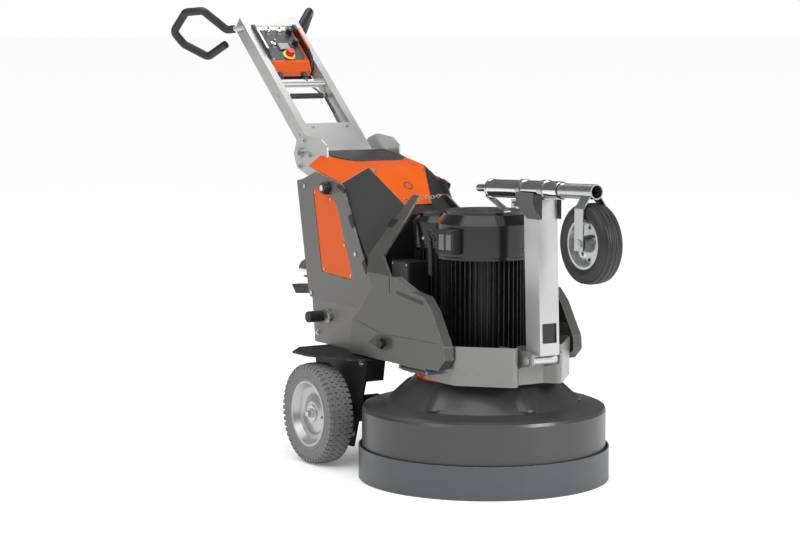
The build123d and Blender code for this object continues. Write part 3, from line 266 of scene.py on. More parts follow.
tyre_rubber = finish(
    "grey tyre rubber", (0.165, 0.165, 0.165), 0.75, grain=500, bump=0.2, wear=0.1,
    bare=(0.30, 0.30, 0.30), dust=0.08, vary=0.10,
)
dress(tyre_rubber, "tyre_right", "tyre_left")
wheel_silver = finish("silver wheel paint", (0.42, 0.42, 0.42), 0.32, metal=0.7, bump=0.05, dust=0.05)
zinc = finish(
    "bright zinc plate", (0.52, 0.53, 0.53), 0.26, metal=0.95, grain=300, bump=0.06, dust=0.02,
)
black_rubber = finish(
    "black rubber", (0.012, 0.012, 0.012), 0.5, grain=600, bump=0.15, wear=0.05, dust=0.04,
)
iron = finish("dark cast iron", (0.03, 0.03, 0.03), 0.6, metal=0.4, grain=400, bump=0.3, dust=0.1)
frame_black = finish(
    "dark frame paint", (0.018, 0.018, 0.019), 0.48, bump=0.06, dust=0.01, wear=0.1, vary=0.06,
    shine=0.2,
)
dress(wheel_silver, "wheel_rim_right", "wheel_rim_left")
dress(iron, "drive_motors")
dress(frame_black, "wheel_brackets")


def repeat_tree(name, round_ring):
    """Geometry Nodes: copies of the mesh round the Z axis, or along a step, then placed."""
    tree = bpy.data.node_groups.new(name, "GeometryNodeTree")
    tree.interface.new_socket("Geometry", in_out="INPUT", socket_type="NodeSocketGeometry")
    tree.interface.new_socket("Count", in_out="INPUT", socket_type="NodeSocketInt")
    tree.interface.new_socket("Radius", in_out="INPUT", socket_type="NodeSocketFloat")
    tree.interface.new_socket("Arc", in_out="INPUT", socket_type="NodeSocketFloat")
    tree.interface.new_socket("Step", in_out="INPUT", socket_type="NodeSocketVector")
    tree.interface.new_socket("Material", in_out="INPUT", socket_type="NodeSocketMaterial")
    tree.interface.new_socket("Geometry", in_out="OUTPUT", socket_type="NodeSocketGeometry")
    given = tree.nodes.new("NodeGroupInput")
    index = tree.nodes.new("GeometryNodeInputIndex")
    points = tree.nodes.new("GeometryNodePoints")
    tree.links.new(given.outputs["Count"], points.inputs["Count"])
    copies = tree.nodes.new("GeometryNodeInstanceOnPoints")
    if round_ring:
        turn = tree.nodes.new("ShaderNodeMath")
        turn.operation = "MULTIPLY"
        tree.links.new(index.outputs[0], turn.inputs[0])
        tree.links.new(given.outputs["Arc"], turn.inputs[1])
        spin = tree.nodes.new("ShaderNodeCombineXYZ")
        tree.links.new(turn.outputs[0], spin.inputs["Z"])
        arm = tree.nodes.new("ShaderNodeCombineXYZ")
        tree.links.new(given.outputs["Radius"], arm.inputs["X"])
        swing = tree.nodes.new("ShaderNodeVectorRotate")
        swing.rotation_type = "EULER_XYZ"
        tree.links.new(arm.outputs[0], swing.inputs["Vector"])
        tree.links.new(spin.outputs[0], swing.inputs["Rotation"])
        tree.links.new(swing.outputs[0], points.inputs["Position"])
        tree.links.new(spin.outputs[0], copies.inputs["Rotation"])
    else:
        walk = tree.nodes.new("ShaderNodeVectorMath")
        walk.operation = "SCALE"
        tree.links.new(given.outputs["Step"], walk.inputs[0])
        tree.links.new(index.outputs[0], walk.inputs["Scale"])
        tree.links.new(walk.outputs[0], points.inputs["Position"])
    tree.links.new(points.outputs[0], copies.inputs["Points"])
    tree.links.new(given.outputs["Geometry"], copies.inputs["Instance"])
    real = tree.nodes.new("GeometryNodeRealizeInstances")
    paint = tree.nodes.new("GeometryNodeSetMaterial")
    done = tree.nodes.new("NodeGroupOutput")
    tree.links.new(copies.outputs[0], real.inputs[0])
    tree.links.new(real.outputs[0], paint.inputs["Geometry"])
    tree.links.new(given.outputs["Material"], paint.inputs["Material"])
    tree.links.new(paint.outputs[0], done.inputs[0])
    return tree


ring_of = repeat_tree("ring of copies", True)
row_of = repeat_tree("row of copies", False)


def copies(name, shape, tree, material, body, place=None, **sizes):
    """Run a repeat tree on a small bmesh and leave a plain mesh that rides on a body."""
    data = bpy.data.meshes.new(name)
    shape.to_mesh(data)
    shape.free()
    seed = bpy.data.objects.new(name + "_seed", data)
    bpy.context.scene.collection.objects.link(seed)
    modifier = seed.modifiers.new("copies", "NODES")
    modifier.node_group = tree
    sizes["Material"] = material
    for item in tree.interface.items_tree:
        if item.in_out == "INPUT" and item.name in sizes:
            modifier[item.identifier] = sizes[item.name]
    bpy.context.view_layer.update()
    ready = seed.evaluated_get(bpy.context.evaluated_depsgraph_get())
    plain = bpy.data.meshes.new_from_object(ready)
    seed.modifiers.remove(modifier)
    bpy.data.objects.remove(seed)
    plain.transform(place or Matrix.Identity(4))
    piece = bpy.data.objects.new(name, plain)
    bpy.context.scene.collection.objects.link(piece)
    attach(piece, body)
    return piece


def solid(name, shape, material, body, bevel=0.0, smooth=False):
    """Leave a bmesh as a named piece with a finish, riding on a body."""
    bmesh.ops.recalc_face_normals(shape, faces=shape.faces)
    data = bpy.data.meshes.new(name)
    shape.to_mesh(data)
    shape.free()
    data.materials.append(material)
    if smooth:
        data.shade_smooth()
    piece = bpy.data.objects.new(name, data)
    bpy.context.scene.collection.objects.link(piece)
    if bevel:
        rounding = piece.modifiers.new("rounded", "BEVEL")
        rounding.width = bevel
        rounding.segments = 2
    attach(piece, body)
    return piece


def block(shape, low, high, matrix=None):
    """Add a box between two corners to a bmesh."""
    low, high = Vector(low), Vector(high)
    size = Matrix.Diagonal((*(high - low), 1))
    place = (matrix or Matrix.Identity(4)) @ Matrix.Translation((low + high) / 2) @ size
    bmesh.ops.create_cube(shape, size=1, matrix=place)


def rod(shape, start, end, radius, sides=24, tip=None):
    """Add a closed round or many-sided rod between two points."""
    start, end = Vector(start), Vector(end)
    turn = (end - start).to_track_quat("Z", "Y").to_matrix().to_4x4()
    place = Matrix.Translation((start + end) / 2) @ turn
    bmesh.ops.create_cone(
        shape, cap_ends=True, segments=sides, radius1=radius,
        radius2=radius if tip is None else tip, depth=(end - start).length, matrix=place,
    )


def plate(shape, outline, matrix, thick):
    """Add a flat plate: an outline in the matrix's XY plane, raised along its Z."""
    corners = [shape.verts.new(matrix @ Vector((*p, 0))) for p in outline]
    face = shape.faces.new(corners)
    raised = bmesh.ops.extrude_face_region(shape, geom=[face])
    lifted = [v for v in raised["geom"] if isinstance(v, bmesh.types.BMVert)]
    outwards = (matrix.to_3x3() @ Vector((0, 0, 1))).normalized()
    bmesh.ops.translate(shape, verts=lifted, vec=outwards * thick)


def lathe(shape, profile, matrix, sides=72):
    """Add a ring: a closed profile of (radius, height) points turned about the matrix's Z."""
    rings = []
    for i in range(sides):
        turn = Matrix.Rotation(2 * math.pi * i / sides, 4, "Z")
        rings.append([shape.verts.new(matrix @ turn @ Vector((r, 0, h))) for r, h in profile])
    for i in range(sides):
        here, there = rings[i], rings[(i + 1) % sides]
        for k in range(len(profile)):
            m = (k + 1) % len(profile)
            shape.faces.new((here[k], there[k], there[m], here[m]))


UPRIGHT = Matrix.Identity(4)
# Turns a shape's Z to point outwards on the machine's right (-Y) or left (+Y).
FACING = {-1: Matrix.Rotation(math.pi / 2, 4, "X"), 1: Matrix.Rotation(-math.pi / 2, 4, "X")}


def at(x, y, z, turn=UPRIGHT):
    """Place in the machine's own coordinates, in metres."""
    return Matrix.Translation((x, y, z)) @ turn


# Moulded carcass with rows of small square blocks.
axle_x, _, axle_z = joints["wheel_right_spin"]["pos_m"]
tread_r = axle_z
for side, body, tyre in ((-1, "wheel_right", "tyre_right"), (1, "wheel_left", "tyre_left")):
    low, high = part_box(tyre)
    centre_y = (low.y + high.y) / 2
    half = (high.y - low.y) / 2 - 0.001
    hub = at(axle_x, centre_y, axle_z, FACING[side])
    carcass = bmesh.new()
    sidewall = [
        (0.118, 0.90), (0.126, 0.96), (0.140, 1.0), (0.155, 0.98), (0.166, 0.88), (0.1735, 0.70),
        (0.1765, 0.35), (0.177, 0.0),
    ]
    outline = [(r, half * h) for r, h in sidewall] + [(r, -half * h) for r, h in reversed(sidewall[:-1])]
    lathe(carcass, outline, hub, 96)
    for mark in (0.131, 0.147):
        band = [
            (mark, half * 0.9), (mark + 0.001, half + 0.0012), (mark + 0.003, half + 0.0012),
            (mark + 0.004, half * 0.9),
        ]
        lathe(carcass, band, hub, 96)
    rubber = solid(f"{tyre}_carcass", carcass, tyre_rubber, body, smooth=True)
    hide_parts(tyre)
    for row, rows in enumerate(((-0.032, -0.0107, 0.0107, 0.032), (-0.0213, 0.0, 0.0213))):
        lug = bmesh.new()
        for across in rows:
            drop = 0.0 if abs(across) < 0.02 else 0.0035
            block(lug, (0.170, -0.0075, across - 0.0085), (tread_r - drop, 0.0075, across + 0.0085))
        if row == 0:
            for edge_y in (-0.0425, 0.0425):
                block(lug, (0.158, -0.006, edge_y - 0.004), (0.172, 0.006, edge_y + 0.004))
        pattern = copies(
            f"{tyre}_blocks_{row}", lug, ring_of, tyre_rubber, body,
            place=hub @ Matrix.Rotation(math.pi * row / 52, 4, "Z"),
            Count=52, Radius=0.0, Arc=2 * math.pi / 52,
        )
    nut = bmesh.new()
    rod(nut, (0, 0, 0.005), (0, 0, 0.026), 0.030, 32)
    rod(nut, (0, 0, 0.026), (0, 0, 0.034), 0.019, 6)
    block(nut, (-0.009, -0.009, 0.034), (0.009, 0.009, 0.046))
    nut.transform(hub)
    solid(f"hub_nut_{body}", nut, zinc, body, 0.001)
    valve = bmesh.new()
    rod(valve, (0.098, 0, 0.02), (0.094, 0, 0.040), 0.004, 12)
    valve.transform(hub)
    solid(f"valve_{body}", valve, black_rubber, body)

# ---- Machine body ------------------------------------------------------------------------
# Satin grey side plates with orange inset panels. Zinc hex bolts and cap screws hold the sheet,
# and draw latches of black rubber hold the cover along its front edge.
side_grey = finish(
    "satin grey powder coat", (0.125, 0.121, 0.116), 0.40, metal=0.25, bump=0.06, dust=0.02, wear=0.25,
    vary=0.06,
)
orange_coat = finish(
    "orange powder coat", (0.60, 0.085, 0.004), 0.36, bump=0.05, dust=0.0, wear=0.05, vary=0.04,
    shine=0.2,
)
frame_grey = finish(
    "grey frame paint", (0.15, 0.147, 0.14), 0.40, metal=0.2, bump=0.06, dust=0.02, wear=0.15,
    vary=0.06,
)
rail_sheet = finish(
    "dull aluminium", (0.50, 0.50, 0.495), 0.34, metal=0.7, grain=700, bump=0.03, dust=0.0, wear=0.1,
    vary=0.04,
)
chrome = finish(
    "chrome plate", (0.72, 0.72, 0.73), 0.14, metal=1.0, grain=200, bump=0.01, dust=0.01, vary=0.03,
)
black_plastic = finish(
    "black moulded plastic", (0.012, 0.012, 0.013), 0.38, grain=1300, bump=0.10, wear=0.05, dust=0.02,
)
grey_plastic = finish("grey plastic", (0.10, 0.105, 0.11), 0.45, wear=0.1, dust=0.04)
dress(side_grey, "side_plates")
dress(orange_coat, "inset_panels")
dress(frame_grey, "chassis_frame")
dress(rail_sheet, "pivot_plates")
dress(zinc, "chassis_fasteners")
dress(chrome, "dust_port")
dress(black_rubber, "rubber_fittings")
dress(black_plastic, "lock_knob_right", "lock_knob_left")
dress(grey_plastic, "inverter")


def bolt(shape, matrix, radius, height, washer=1.5):
    """Hex head on a washer, standing on the matrix's XY plane."""
    rod(shape, matrix @ Vector((0, 0, 0)), matrix @ Vector((0, 0, height * 0.2)), radius * washer, 24)
    rod(shape, matrix @ Vector((0, 0, height * 0.2)), matrix @ Vector((0, 0, height)), radius, 6)


plate_low, plate_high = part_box("side_plates")
plate_y = plate_high.y
fixings = bmesh.new()
latches = bmesh.new()
for side in (-1, 1):
    for x, z, radius in (
        (-0.174, 0.501, 0.013), (-0.262, 0.430, 0.007), (0.120, 0.430, 0.007), (0.03, 0.52, 0.007),
    ):
        bolt(fixings, at(axle_x + x, side * (plate_y - 0.005), z, FACING[side]), radius, radius * 1.1)
    for x, z in ((-0.421, 1.077), (-0.460, 1.131), (-0.492, 1.031)):
        bolt(fixings, at(axle_x + x, side * 0.167, z, FACING[side]), 0.006, 0.006)
    bolt(fixings, at(axle_x - 0.484, side * 0.172, 1.082, FACING[side]), 0.013, 0.012)
    for x, z in ((-0.15, 0.37), (0.15, 0.37), (-0.09, 0.11), (0.09, 0.11), (0.0, 0.27), (0.0, 0.1)):
        bolt(fixings, at(axle_x + x, side * 0.280, z, FACING[side]), 0.008, 0.008)
    for x, z, slope in ((-0.076, 0.976, -0.35), (-0.008, 0.862, -1.05), (0.088, 0.706, -0.95)):
        lie = at(axle_x + x, side * (plate_y + 0.001), z, Matrix.Rotation(-slope, 4, "Y"))
        block(latches, (-0.024, -0.004, -0.010), (0.024, 0.0035, 0.010), lie)
solid("body_bolts", fixings, zinc, "chassis", 0.0006)
solid("cover_latches", latches, black_rubber, "chassis", 0.002)

for side, body in ((-1, "lock_knob_right"), (1, "lock_knob_left")):
    x, y, z = joints[f"{body}_turn"]["pos_m"]
    cap = bmesh.new()
    rod(cap, (x, y + side * 0.030, z), (x, y + side * 0.034, z), 0.011, 32)
    solid(f"{body}_cap", cap, chrome, body, 0.001, smooth=False)

bumper = bmesh.new()
for side in (-1, 1):
    for ring in range(4):
        y = side * (0.228 + ring * 0.014)
        rod(bumper, (axle_x - 0.234, y, 0.494), (axle_x - 0.234, y + side * 0.006, 0.494), 0.0215, 32)
solid("bumper_ribs", bumper, black_rubber, "chassis", 0.0015)

# ---- Hood, cover and tray details ---------------------------------------------------------
# An orange hood over a dark folded cover and tray, its tab and shoulders held by button-head
# screws; louvres in the rear panel let air out.
dark_coat = finish(
    "dark grey powder coat", (0.022, 0.022, 0.022), 0.45, bump=0.08, dust=0.01, wear=0.15, vary=0.05,
    shine=0.25,
)
dress(orange_coat, "hood")
dress(dark_coat, "front_cover", "top_tray", "rear_panel")
tab_slope = Vector((0.1470, 0, -0.1280)).normalized()
tab_out = Vector((0.1280, 0, 0.1470)).normalized()
tab_top = Vector((axle_x - 0.063, 0, 1.046)) + tab_out * 0.0034
screws = bmesh.new()
for along, across in ((0.020, -0.105), (0.020, 0.105), (0.172, -0.045), (0.172, 0.045)):
    spot = tab_top + Vector((0, across, 0)) + tab_slope * along
    rod(screws, spot, spot + tab_out * 0.0035, 0.0065, 24)
solid("hood_screws", screws, zinc, "chassis", 0.001)

badge = bmesh.new()
seat = Matrix((
    (tab_slope.x, 0, tab_out.x, 0), (0, -1, 0, 0), (tab_slope.z, 0, tab_out.z, 0), (0, 0, 0, 1)
))
spot = tab_top + tab_slope * 0.10
badge_ring = [(0.014, 0.0), (0.014, 0.0015), (0.019, 0.0015), (0.019, 0.0)]
lathe(badge, badge_ring, Matrix.Translation(spot) @ seat, 40)
solid("hood_badge_ring", badge, zinc, "chassis")

louvre = bmesh.new()
rear_step = Vector((-0.085, 0, 0.404)).normalized()
rear_out = Vector((-0.404, 0, -0.085)).normalized()
start = Vector((axle_x - 0.3125, 0, 0.574))
row_place = Matrix((
    (rear_out.x, 0, rear_step.x, 0), (0, 1, 0, 0), (rear_out.z, 0, rear_step.z, 0), (0, 0, 0, 1)
))
block(louvre, (0.0, -0.07, -0.002), (0.006, 0.07, 0.006))
copies(
        "rear_louvres", louvre, row_of, dark_coat, "chassis",
        place=Matrix.Translation(start + rear_step * 0.17) @ row_place, Count=9, Step=(0.0, 0.0, 0.018),
    )
socket = bmesh.new()
socket_place = Matrix.Translation(start + rear_step * 0.09 + Vector((0, 0.10, 0))) @ row_place
block(socket, (0, -0.035, -0.035), (0.012, 0.035, 0.035), socket_place)
rod(socket, socket_place @ Vector((0.012, 0, 0)), socket_place @ Vector((0.034, 0, -0.006)), 0.024, 32)
solid("power_socket", socket, black_plastic, "chassis", 0.002)

# ---- Handle and remote control ------------------------------------------------------------
# Two aluminium rails with a lower plate and looped rubber grips. The orange remote sits in a
# black cradle at the top, and a sprung bar across the rails releases the fold.
orange_plastic = finish(
    "orange moulded plastic", (0.60, 0.080, 0.005), 0.34, grain=1300, bump=0.05, wear=0.03, dust=0.0,
    vary=0.04, shine=0.35,
)
red_plastic = finish("red moulded plastic", (0.55, 0.008, 0.010), 0.28, wear=0.05, dust=0.02, coat=0.3)
dress(rail_sheet, "handle_frame")
dress(black_rubber, "grip_right", "grip_left")
dress(black_plastic, "release_bar", "remote_cradle", "knob_upper", "knob_lower")
dress(grey_plastic, "remote_cable")
dress(orange_plastic, "remote_case")
dress(chrome, "toggle_left", "toggle_middle", "toggle_lower")
dress(red_plastic, "stop_button")
square = Vector(joints["remote_lift"]["axis"])
along = square.cross(Vector((0, 1, 0)))
pivot = Vector(joints["handle_fold"]["pos_m"])


def on_handle(distance, height, across=0.0):
    """Place on the handle: X along it, Y to the machine's right, Z square to its top."""
    place = pivot + along * distance + square * height + Vector((0, across, 0))
    columns = (along, Vector((0, -1, 0)), square)
    turn = Matrix([[c[i] for c in columns] for i in range(3)]).to_4x4()
    return Matrix.Translation(place) @ turn


face_at = 0.020
dark_panel = finish("control panel print", (0.035, 0.036, 0.04), 0.35, grain=1500, wear=0.05, dust=0.05)
screen = finish("display glass", (0.16, 0.19, 0.17), 0.08, wear=0.0, dust=0.02, vary=0.04, coat=0.5)
white_print = finish("white panel print", (0.75, 0.75, 0.73), 0.4, wear=0.0, dust=0.05)
yellow = finish("yellow plastic", (0.85, 0.58, 0.02), 0.3, wear=0.05, dust=0.05)

panel = bmesh.new()
block(panel, (0.505, -0.076, 0), (0.684, 0.076, 0.00025), on_handle(0, face_at))
solid("control_panel", panel, dark_panel, "remote")
bezel = bmesh.new()
block(bezel, (0.563, -0.034, 0), (0.611, 0.024, 0.004), on_handle(0, face_at))
solid("display_bezel", bezel, black_plastic, "remote", 0.001)
glass = bmesh.new()
block(glass, (0.569, -0.028, 0.004), (0.605, 0.018, 0.0045), on_handle(0, face_at))
solid("display_screen", glass, screen, "remote")
ring = bmesh.new()
collar = [(0.0175, 0.0002), (0.0175, 0.004), (0.024, 0.003), (0.026, 0.0002)]
lathe(ring, collar, on_handle(0.538, face_at, 0.009), 48)
solid("stop_collar", ring, yellow, "remote")
marks = bmesh.new()
for s, y in ((0.680, -0.032), (0.680, 0.018), (0.601, -0.038)):
    for step in (-0.017, 0.017):
        block(marks, (-0.001, -0.006, 0.0002), (0.001, 0.006, 0.0006), on_handle(s + step, face_at, y))
for s in (0.667, 0.601):
    for k in range(9):
        tick = on_handle(s, face_at, 0.060) @ Matrix.Rotation(math.radians(-130 + 32.5 * k), 4, "Z")
        block(marks, (0.0155, -0.0005, 0.0002), (0.0185, 0.0005, 0.0006), tick)
solid("panel_marks", marks, white_print, "remote")
for name in ("knob_upper", "knob_lower"):
    line = bmesh.new()
    s = 0.667 if name == "knob_upper" else 0.601
    block(line, (0.001, -0.0008, 0.0239), (0.009, 0.0008, 0.0246), on_handle(s, face_at, 0.060))
    solid(f"{name}_pointer", line, white_print, name)
    grips = bmesh.new()
    rod(grips, (0.0, 0, 0.008), (0.0, 0, 0.022), 0.0012, 8)
    copies(
            f"{name}_ribs", grips, ring_of, black_plastic, name, place=on_handle(s, face_at, 0.060),
            Count=18, Radius=0.0106, Arc=2 * math.pi / 18,
        )
collars = bmesh.new()
for s, y in ((0.680, -0.032), (0.680, 0.018), (0.601, -0.038)):
    nut_ring = [(0.0066, 0.0), (0.0066, 0.0072), (0.0098, 0.0072), (0.0112, 0.0)]
    lathe(collars, nut_ring, on_handle(s, face_at, y), 32)
solid("toggle_collars", collars, chrome, "remote")
case_screws = bmesh.new()
for s, y in ((0.512, -0.070), (0.512, 0.070), (0.678, -0.070), (0.678, 0.078)):
    place = on_handle(s, face_at, y)
    rod(case_screws, place.translation, place @ Vector((0, 0, 0.002)), 0.003, 16)
solid("case_screws", case_screws, zinc, "remote")

trim = bmesh.new()
block(trim, (0.545, 0.0885, 0.046), (0.665, 0.0965, 0.050), on_handle(0, 0))
solid("guard_bar", trim, chrome, "handle", 0.0015)
strip = bmesh.new()
block(strip, (0.545, -0.0965, 0.046), (0.665, -0.0885, 0.049), on_handle(0, 0))
solid("guard_strip", strip, orange_plastic, "handle", 0.001)

handle_bolts = bmesh.new()
for side in (-1, 1):
    for s, radius in ((0.318, 0.008), (0.372, 0.007), (0.70, 0.005), (0.10, 0.006), (0.722, 0.006)):
        place = on_handle(s, 0.013 if s == 0.372 else 0.0, side * 0.128)
        rod(handle_bolts, place.translation, place.translation + Vector((0, side * 0.003, 0)), radius, 24)
for s in (-0.03, 0.11):
    for y in (-0.075, 0.075):
        place = on_handle(s, 0.0296, y)
        rod(handle_bolts, place.translation, place.translation + square * 0.0035, 0.006, 24)
solid("handle_screws", handle_bolts, zinc, "handle", 0.0008)
bar_ends = bmesh.new()
for low, high in ((-0.086, -0.078), (0.070, 0.078)):
    place = on_handle(0.318, 0.0)
    rod(bar_ends, place @ Vector((0, -low, 0)), place @ Vector((0, -high, 0)), 0.0125, 32)
solid("release_bar_ends", bar_ends, chrome, "release_bar", 0.001)

coil = bpy.data.curves.new("release_spring", "CURVE")
coil.dimensions = "3D"
turns = 14
line = coil.splines.new("POLY")
line.points.add(turns * 12)
for i, point in enumerate(line.points):
    angle = 2 * math.pi * i / 12
    local = Vector((0.100 + 0.11 * i / (turns * 12), 0.0092 * math.cos(angle), 0.0092 * math.sin(angle)))
    point.co = (*(on_handle(0, 0, 0.080) @ local), 1)
coil.bevel_depth = 0.0011
coil.bevel_resolution = 2
coil_object = bpy.data.objects.new("release_spring_line", coil)
bpy.context.scene.collection.objects.link(coil_object)
bpy.context.view_layer.update()
coil_ready = coil_object.evaluated_get(bpy.context.evaluated_depsgraph_get())
spring_mesh = bpy.data.meshes.new_from_object(coil_ready)
bpy.data.objects.remove(coil_object)
spring_mesh.materials.clear()
spring_mesh.materials.append(zinc)
spring = bpy.data.objects.new("release_spring", spring_mesh)
bpy.context.scene.collection.objects.link(spring)
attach(spring, "release_bar")

# ---- Grinding head ------------------------------------------------------------------------
# A spun steel shroud with a soft six-sided crown, an orange gear housing, and a folded apron
# that the motors, the weights and the post are bolted to.
shroud_grey = finish(
    "shroud grey enamel", (0.056, 0.056, 0.057), 0.36, metal=0.35, bump=0.03, dust=0.02, wear=0.15,
    vary=0.05, coat=0.05,
)
skirt_rubber = finish(
    "blue-grey skirt rubber", (0.056, 0.061, 0.067), 0.40, grain=500, bump=0.06, dust=0.03, wear=0.1,
    vary=0.08,
)
apron_grey = finish(
    "head grey powder coat", (0.20, 0.198, 0.195), 0.28, metal=0.4, bump=0.04, dust=0.02, wear=0.2,
    vary=0.06,
)
machined = finish(
    "machined steel", (0.45, 0.45, 0.46), 0.30, metal=1.0, grain=1500, bump=0.08, dust=0.1,
)
dress(skirt_rubber, "skirt")
dress(shroud_grey, "shroud")
dress(apron_grey, "apron")
dress(orange_coat, "gear_housing")
dress(machined, "carrier", "satellite_1", "satellite_2", "satellite_3", "main_rotor", "head_rotor")
dress(black_rubber, "satellite_belt", "carrier_belt")
head_x = joints["main_rotor_spin"]["pos_m"][0]
head_motor_x = joints["head_rotor_spin"]["pos_m"][0]
head_at = Matrix.Translation((head_x, 0, 0))
crown = bmesh.new()
corners = [math.radians(-6 + 60 * k) for k in range(6)]
lower, upper = (
    [crown.verts.new(head_at @ Vector((r * math.cos(t), r * math.sin(t), z))) for t in corners]
    for r, z in ((0.352, 0.2655), (0.262, 0.3490))
)
crown.faces.new(lower[::-1])
crown.faces.new(upper)
for k in range(6):
    crown.faces.new((lower[k], lower[(k + 1) % 6], upper[(k + 1) % 6], upper[k]))
solid("shroud_crown", crown, shroud_grey, "head", 0.020, smooth=True)
housing_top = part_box("gear_housing")[1].z
cap_screw = bmesh.new()
rod(cap_screw, (0.2250, 0, housing_top), (0.2250, 0, housing_top + 0.005), 0.0055, 20)
copies(
        "housing_screws", cap_screw, ring_of, zinc, "head",
        place=head_at @ Matrix.Rotation(math.radians(-80), 4, "Z"), Count=9, Radius=0.0, Arc=math.radians(20),
    )
apron_fixings = bmesh.new()
for side in (-1, 1):
    bolt(apron_fixings, at(axle_x + 0.410, side * 0.2365, 0.390, FACING[side]), 0.018, 0.0135, 1.25)
    rod(apron_fixings, (axle_x + 0.857, side * 0.062, 0.452), (axle_x + 0.857, side * 0.070, 0.452), 0.015, 6)
solid("apron_bolts", apron_fixings, zinc, "head", 0.0006)

# ---- Motors -------------------------------------------------------------------------------
# Cast bodies with thin upright fins under pressed fan cowls, all in gloss black. A switch box
# stands on the main motor's cowl, and a conduit joins it to the head motor's terminal box.
motor_black = finish(
    "black motor enamel", (0.006, 0.006, 0.007), 0.20, bump=0.03, dust=0.0, wear=0.02, coat=0.25,
    vary=0.05,
)
fin_black = finish("black cast fins", (0.005, 0.005, 0.0055), 0.55, bump=0.2, dust=0.01, wear=0.05)
dress(motor_black, "main_motor_cowl", "head_motor_cowl")
dress(fin_black, "main_motor_housing", "head_motor_housing")
dress(black_plastic, "motor_boxes")
for label, x, root, tip, low, high, count in (
    ("main_motor", head_x, 0.124, 0.150, 0.412, 0.772, 48),
    ("head_motor", head_motor_x, 0.078, 0.094, 0.412, 0.772, 34),
):
    fin = bmesh.new()
    block(fin, (root, -0.0013, low), (tip, 0.0013, high))
    place = Matrix.Translation((x, 0, 0))
    copies(
            f"{label}_fins", fin, ring_of, fin_black, "head", place=place,
            Count=count, Radius=0.0, Arc=2 * math.pi / count,
        )
    cowl_low, cowl_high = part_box(f"{label}_cowl")
    radius = (cowl_high.y - cowl_low.y) / 2
    top = cowl_high.z
    ribs = bmesh.new()
    z = cowl_low.z + 0.012
    bead = [
        (radius - 0.002, z), (radius + 0.0016, z + 0.0015),
        (radius + 0.0016, z + 0.0045), (radius - 0.002, z + 0.006),
    ]
    lathe(ribs, bead, place, 96)
    solid(f"{label}_cowl_beads", ribs, motor_black, "head", smooth=True)
    slot_shape = bmesh.new()
    for ring_r in (0.20, 0.33, 0.46, 0.59):
        block(slot_shape, (radius * ring_r, -0.0032, top), (radius * (ring_r + 0.11), 0.0032, top + 0.0004))
    copies(
            f"{label}_grille", slot_shape, ring_of, black_plastic, "head", place=place,
            Count=30, Radius=0.0, Arc=2 * math.pi / 30,
        )
    head_bolt = bmesh.new()
    rod(head_bolt, (radius, 0, cowl_low.z + 0.040), (radius + 0.004, 0, cowl_low.z + 0.040), 0.006, 6)
    copies(
            f"{label}_cowl_screws", head_bolt, ring_of, zinc, "head",
            place=place @ Matrix.Rotation(math.radians(20), 4, "Z"), Count=4, Radius=0.0, Arc=math.pi / 2,
        )
    foot_bolt = bmesh.new()
    rod(foot_bolt, (root + 0.004, 0, 0.409), (root + 0.004, 0, 0.418), 0.008, 6)
    copies(
            f"{label}_foot_bolts", foot_bolt, ring_of, zinc, "head", place=place,
            Count=8, Radius=0.0, Arc=math.pi / 4,
        )

switch_place = at(head_x, 0, 0.830, Matrix.Rotation(math.radians(285), 4, "Z"))
box_face = 0.2032  # outer face of the switch box from the motor's middle
window = finish("smoked window", (0.10, 0.105, 0.11), 0.12, wear=0.0, dust=0.1, coat=0.5)
frame_bar = bmesh.new()
for low, high in ((-0.039, -0.031), (-0.003, 0.003), (0.031, 0.039)):
    block(frame_bar, (box_face, low, -0.040), (0.2065, high, 0.040), switch_place)
for low, high in ((-0.040, -0.030), (0.030, 0.040)):
    block(frame_bar, (box_face, -0.039, low), (0.2065, 0.039, high), switch_place)
solid("switch_frame", frame_bar, black_plastic, "head", 0.001)
panes = bmesh.new()
for low, high in ((-0.028, -0.004), (0.004, 0.028)):
    block(panes, (box_face, low, -0.027), (0.2052, high, 0.027), switch_place)
solid("switch_windows", panes, window, "head", 0.003)
box_screws = bmesh.new()
for y in (-0.035, 0.035):
    for z in (-0.035, 0.035):
        screw_root = switch_place @ Vector((0.203, y, z))
        rod(box_screws, screw_root, switch_place @ Vector((0.2055, y, z)), 0.003, 16)
terminal_low = Vector((head_motor_x - 0.055, -0.1705, 0.6005))
for x in (0.010, 0.100):
    for z in (0.010, 0.125):
        spot = terminal_low + Vector((x, 0, z))
        rod(box_screws, spot, spot + Vector((0, -0.0025, 0)), 0.004, 16)
solid("box_screws", box_screws, zinc, "head")
lid = bmesh.new()
block(lid, (head_motor_x - 0.056, -0.1715, 0.599), (head_motor_x + 0.056, -0.163, 0.737))
solid("terminal_lid", lid, black_plastic, "head", 0.004)

plug_place = at(head_x, 0, 0.868, Matrix.Rotation(math.radians(131), 4, "Z"))
plug = bmesh.new()
rod(plug, plug_place @ Vector((0.182, 0, 0.014)), plug_place @ Vector((0.182, 0, 0.024)), 0.018, 32)
solid("socket_collar", plug, grey_plastic, "head", 0.002)
cap = bmesh.new()
rod(cap, plug_place @ Vector((0.182, 0, 0.024)), plug_place @ Vector((0.182, 0, 0.052)), 0.016, 32, tip=0.019)
solid("socket_cap", cap, red_plastic, "head", 0.003)

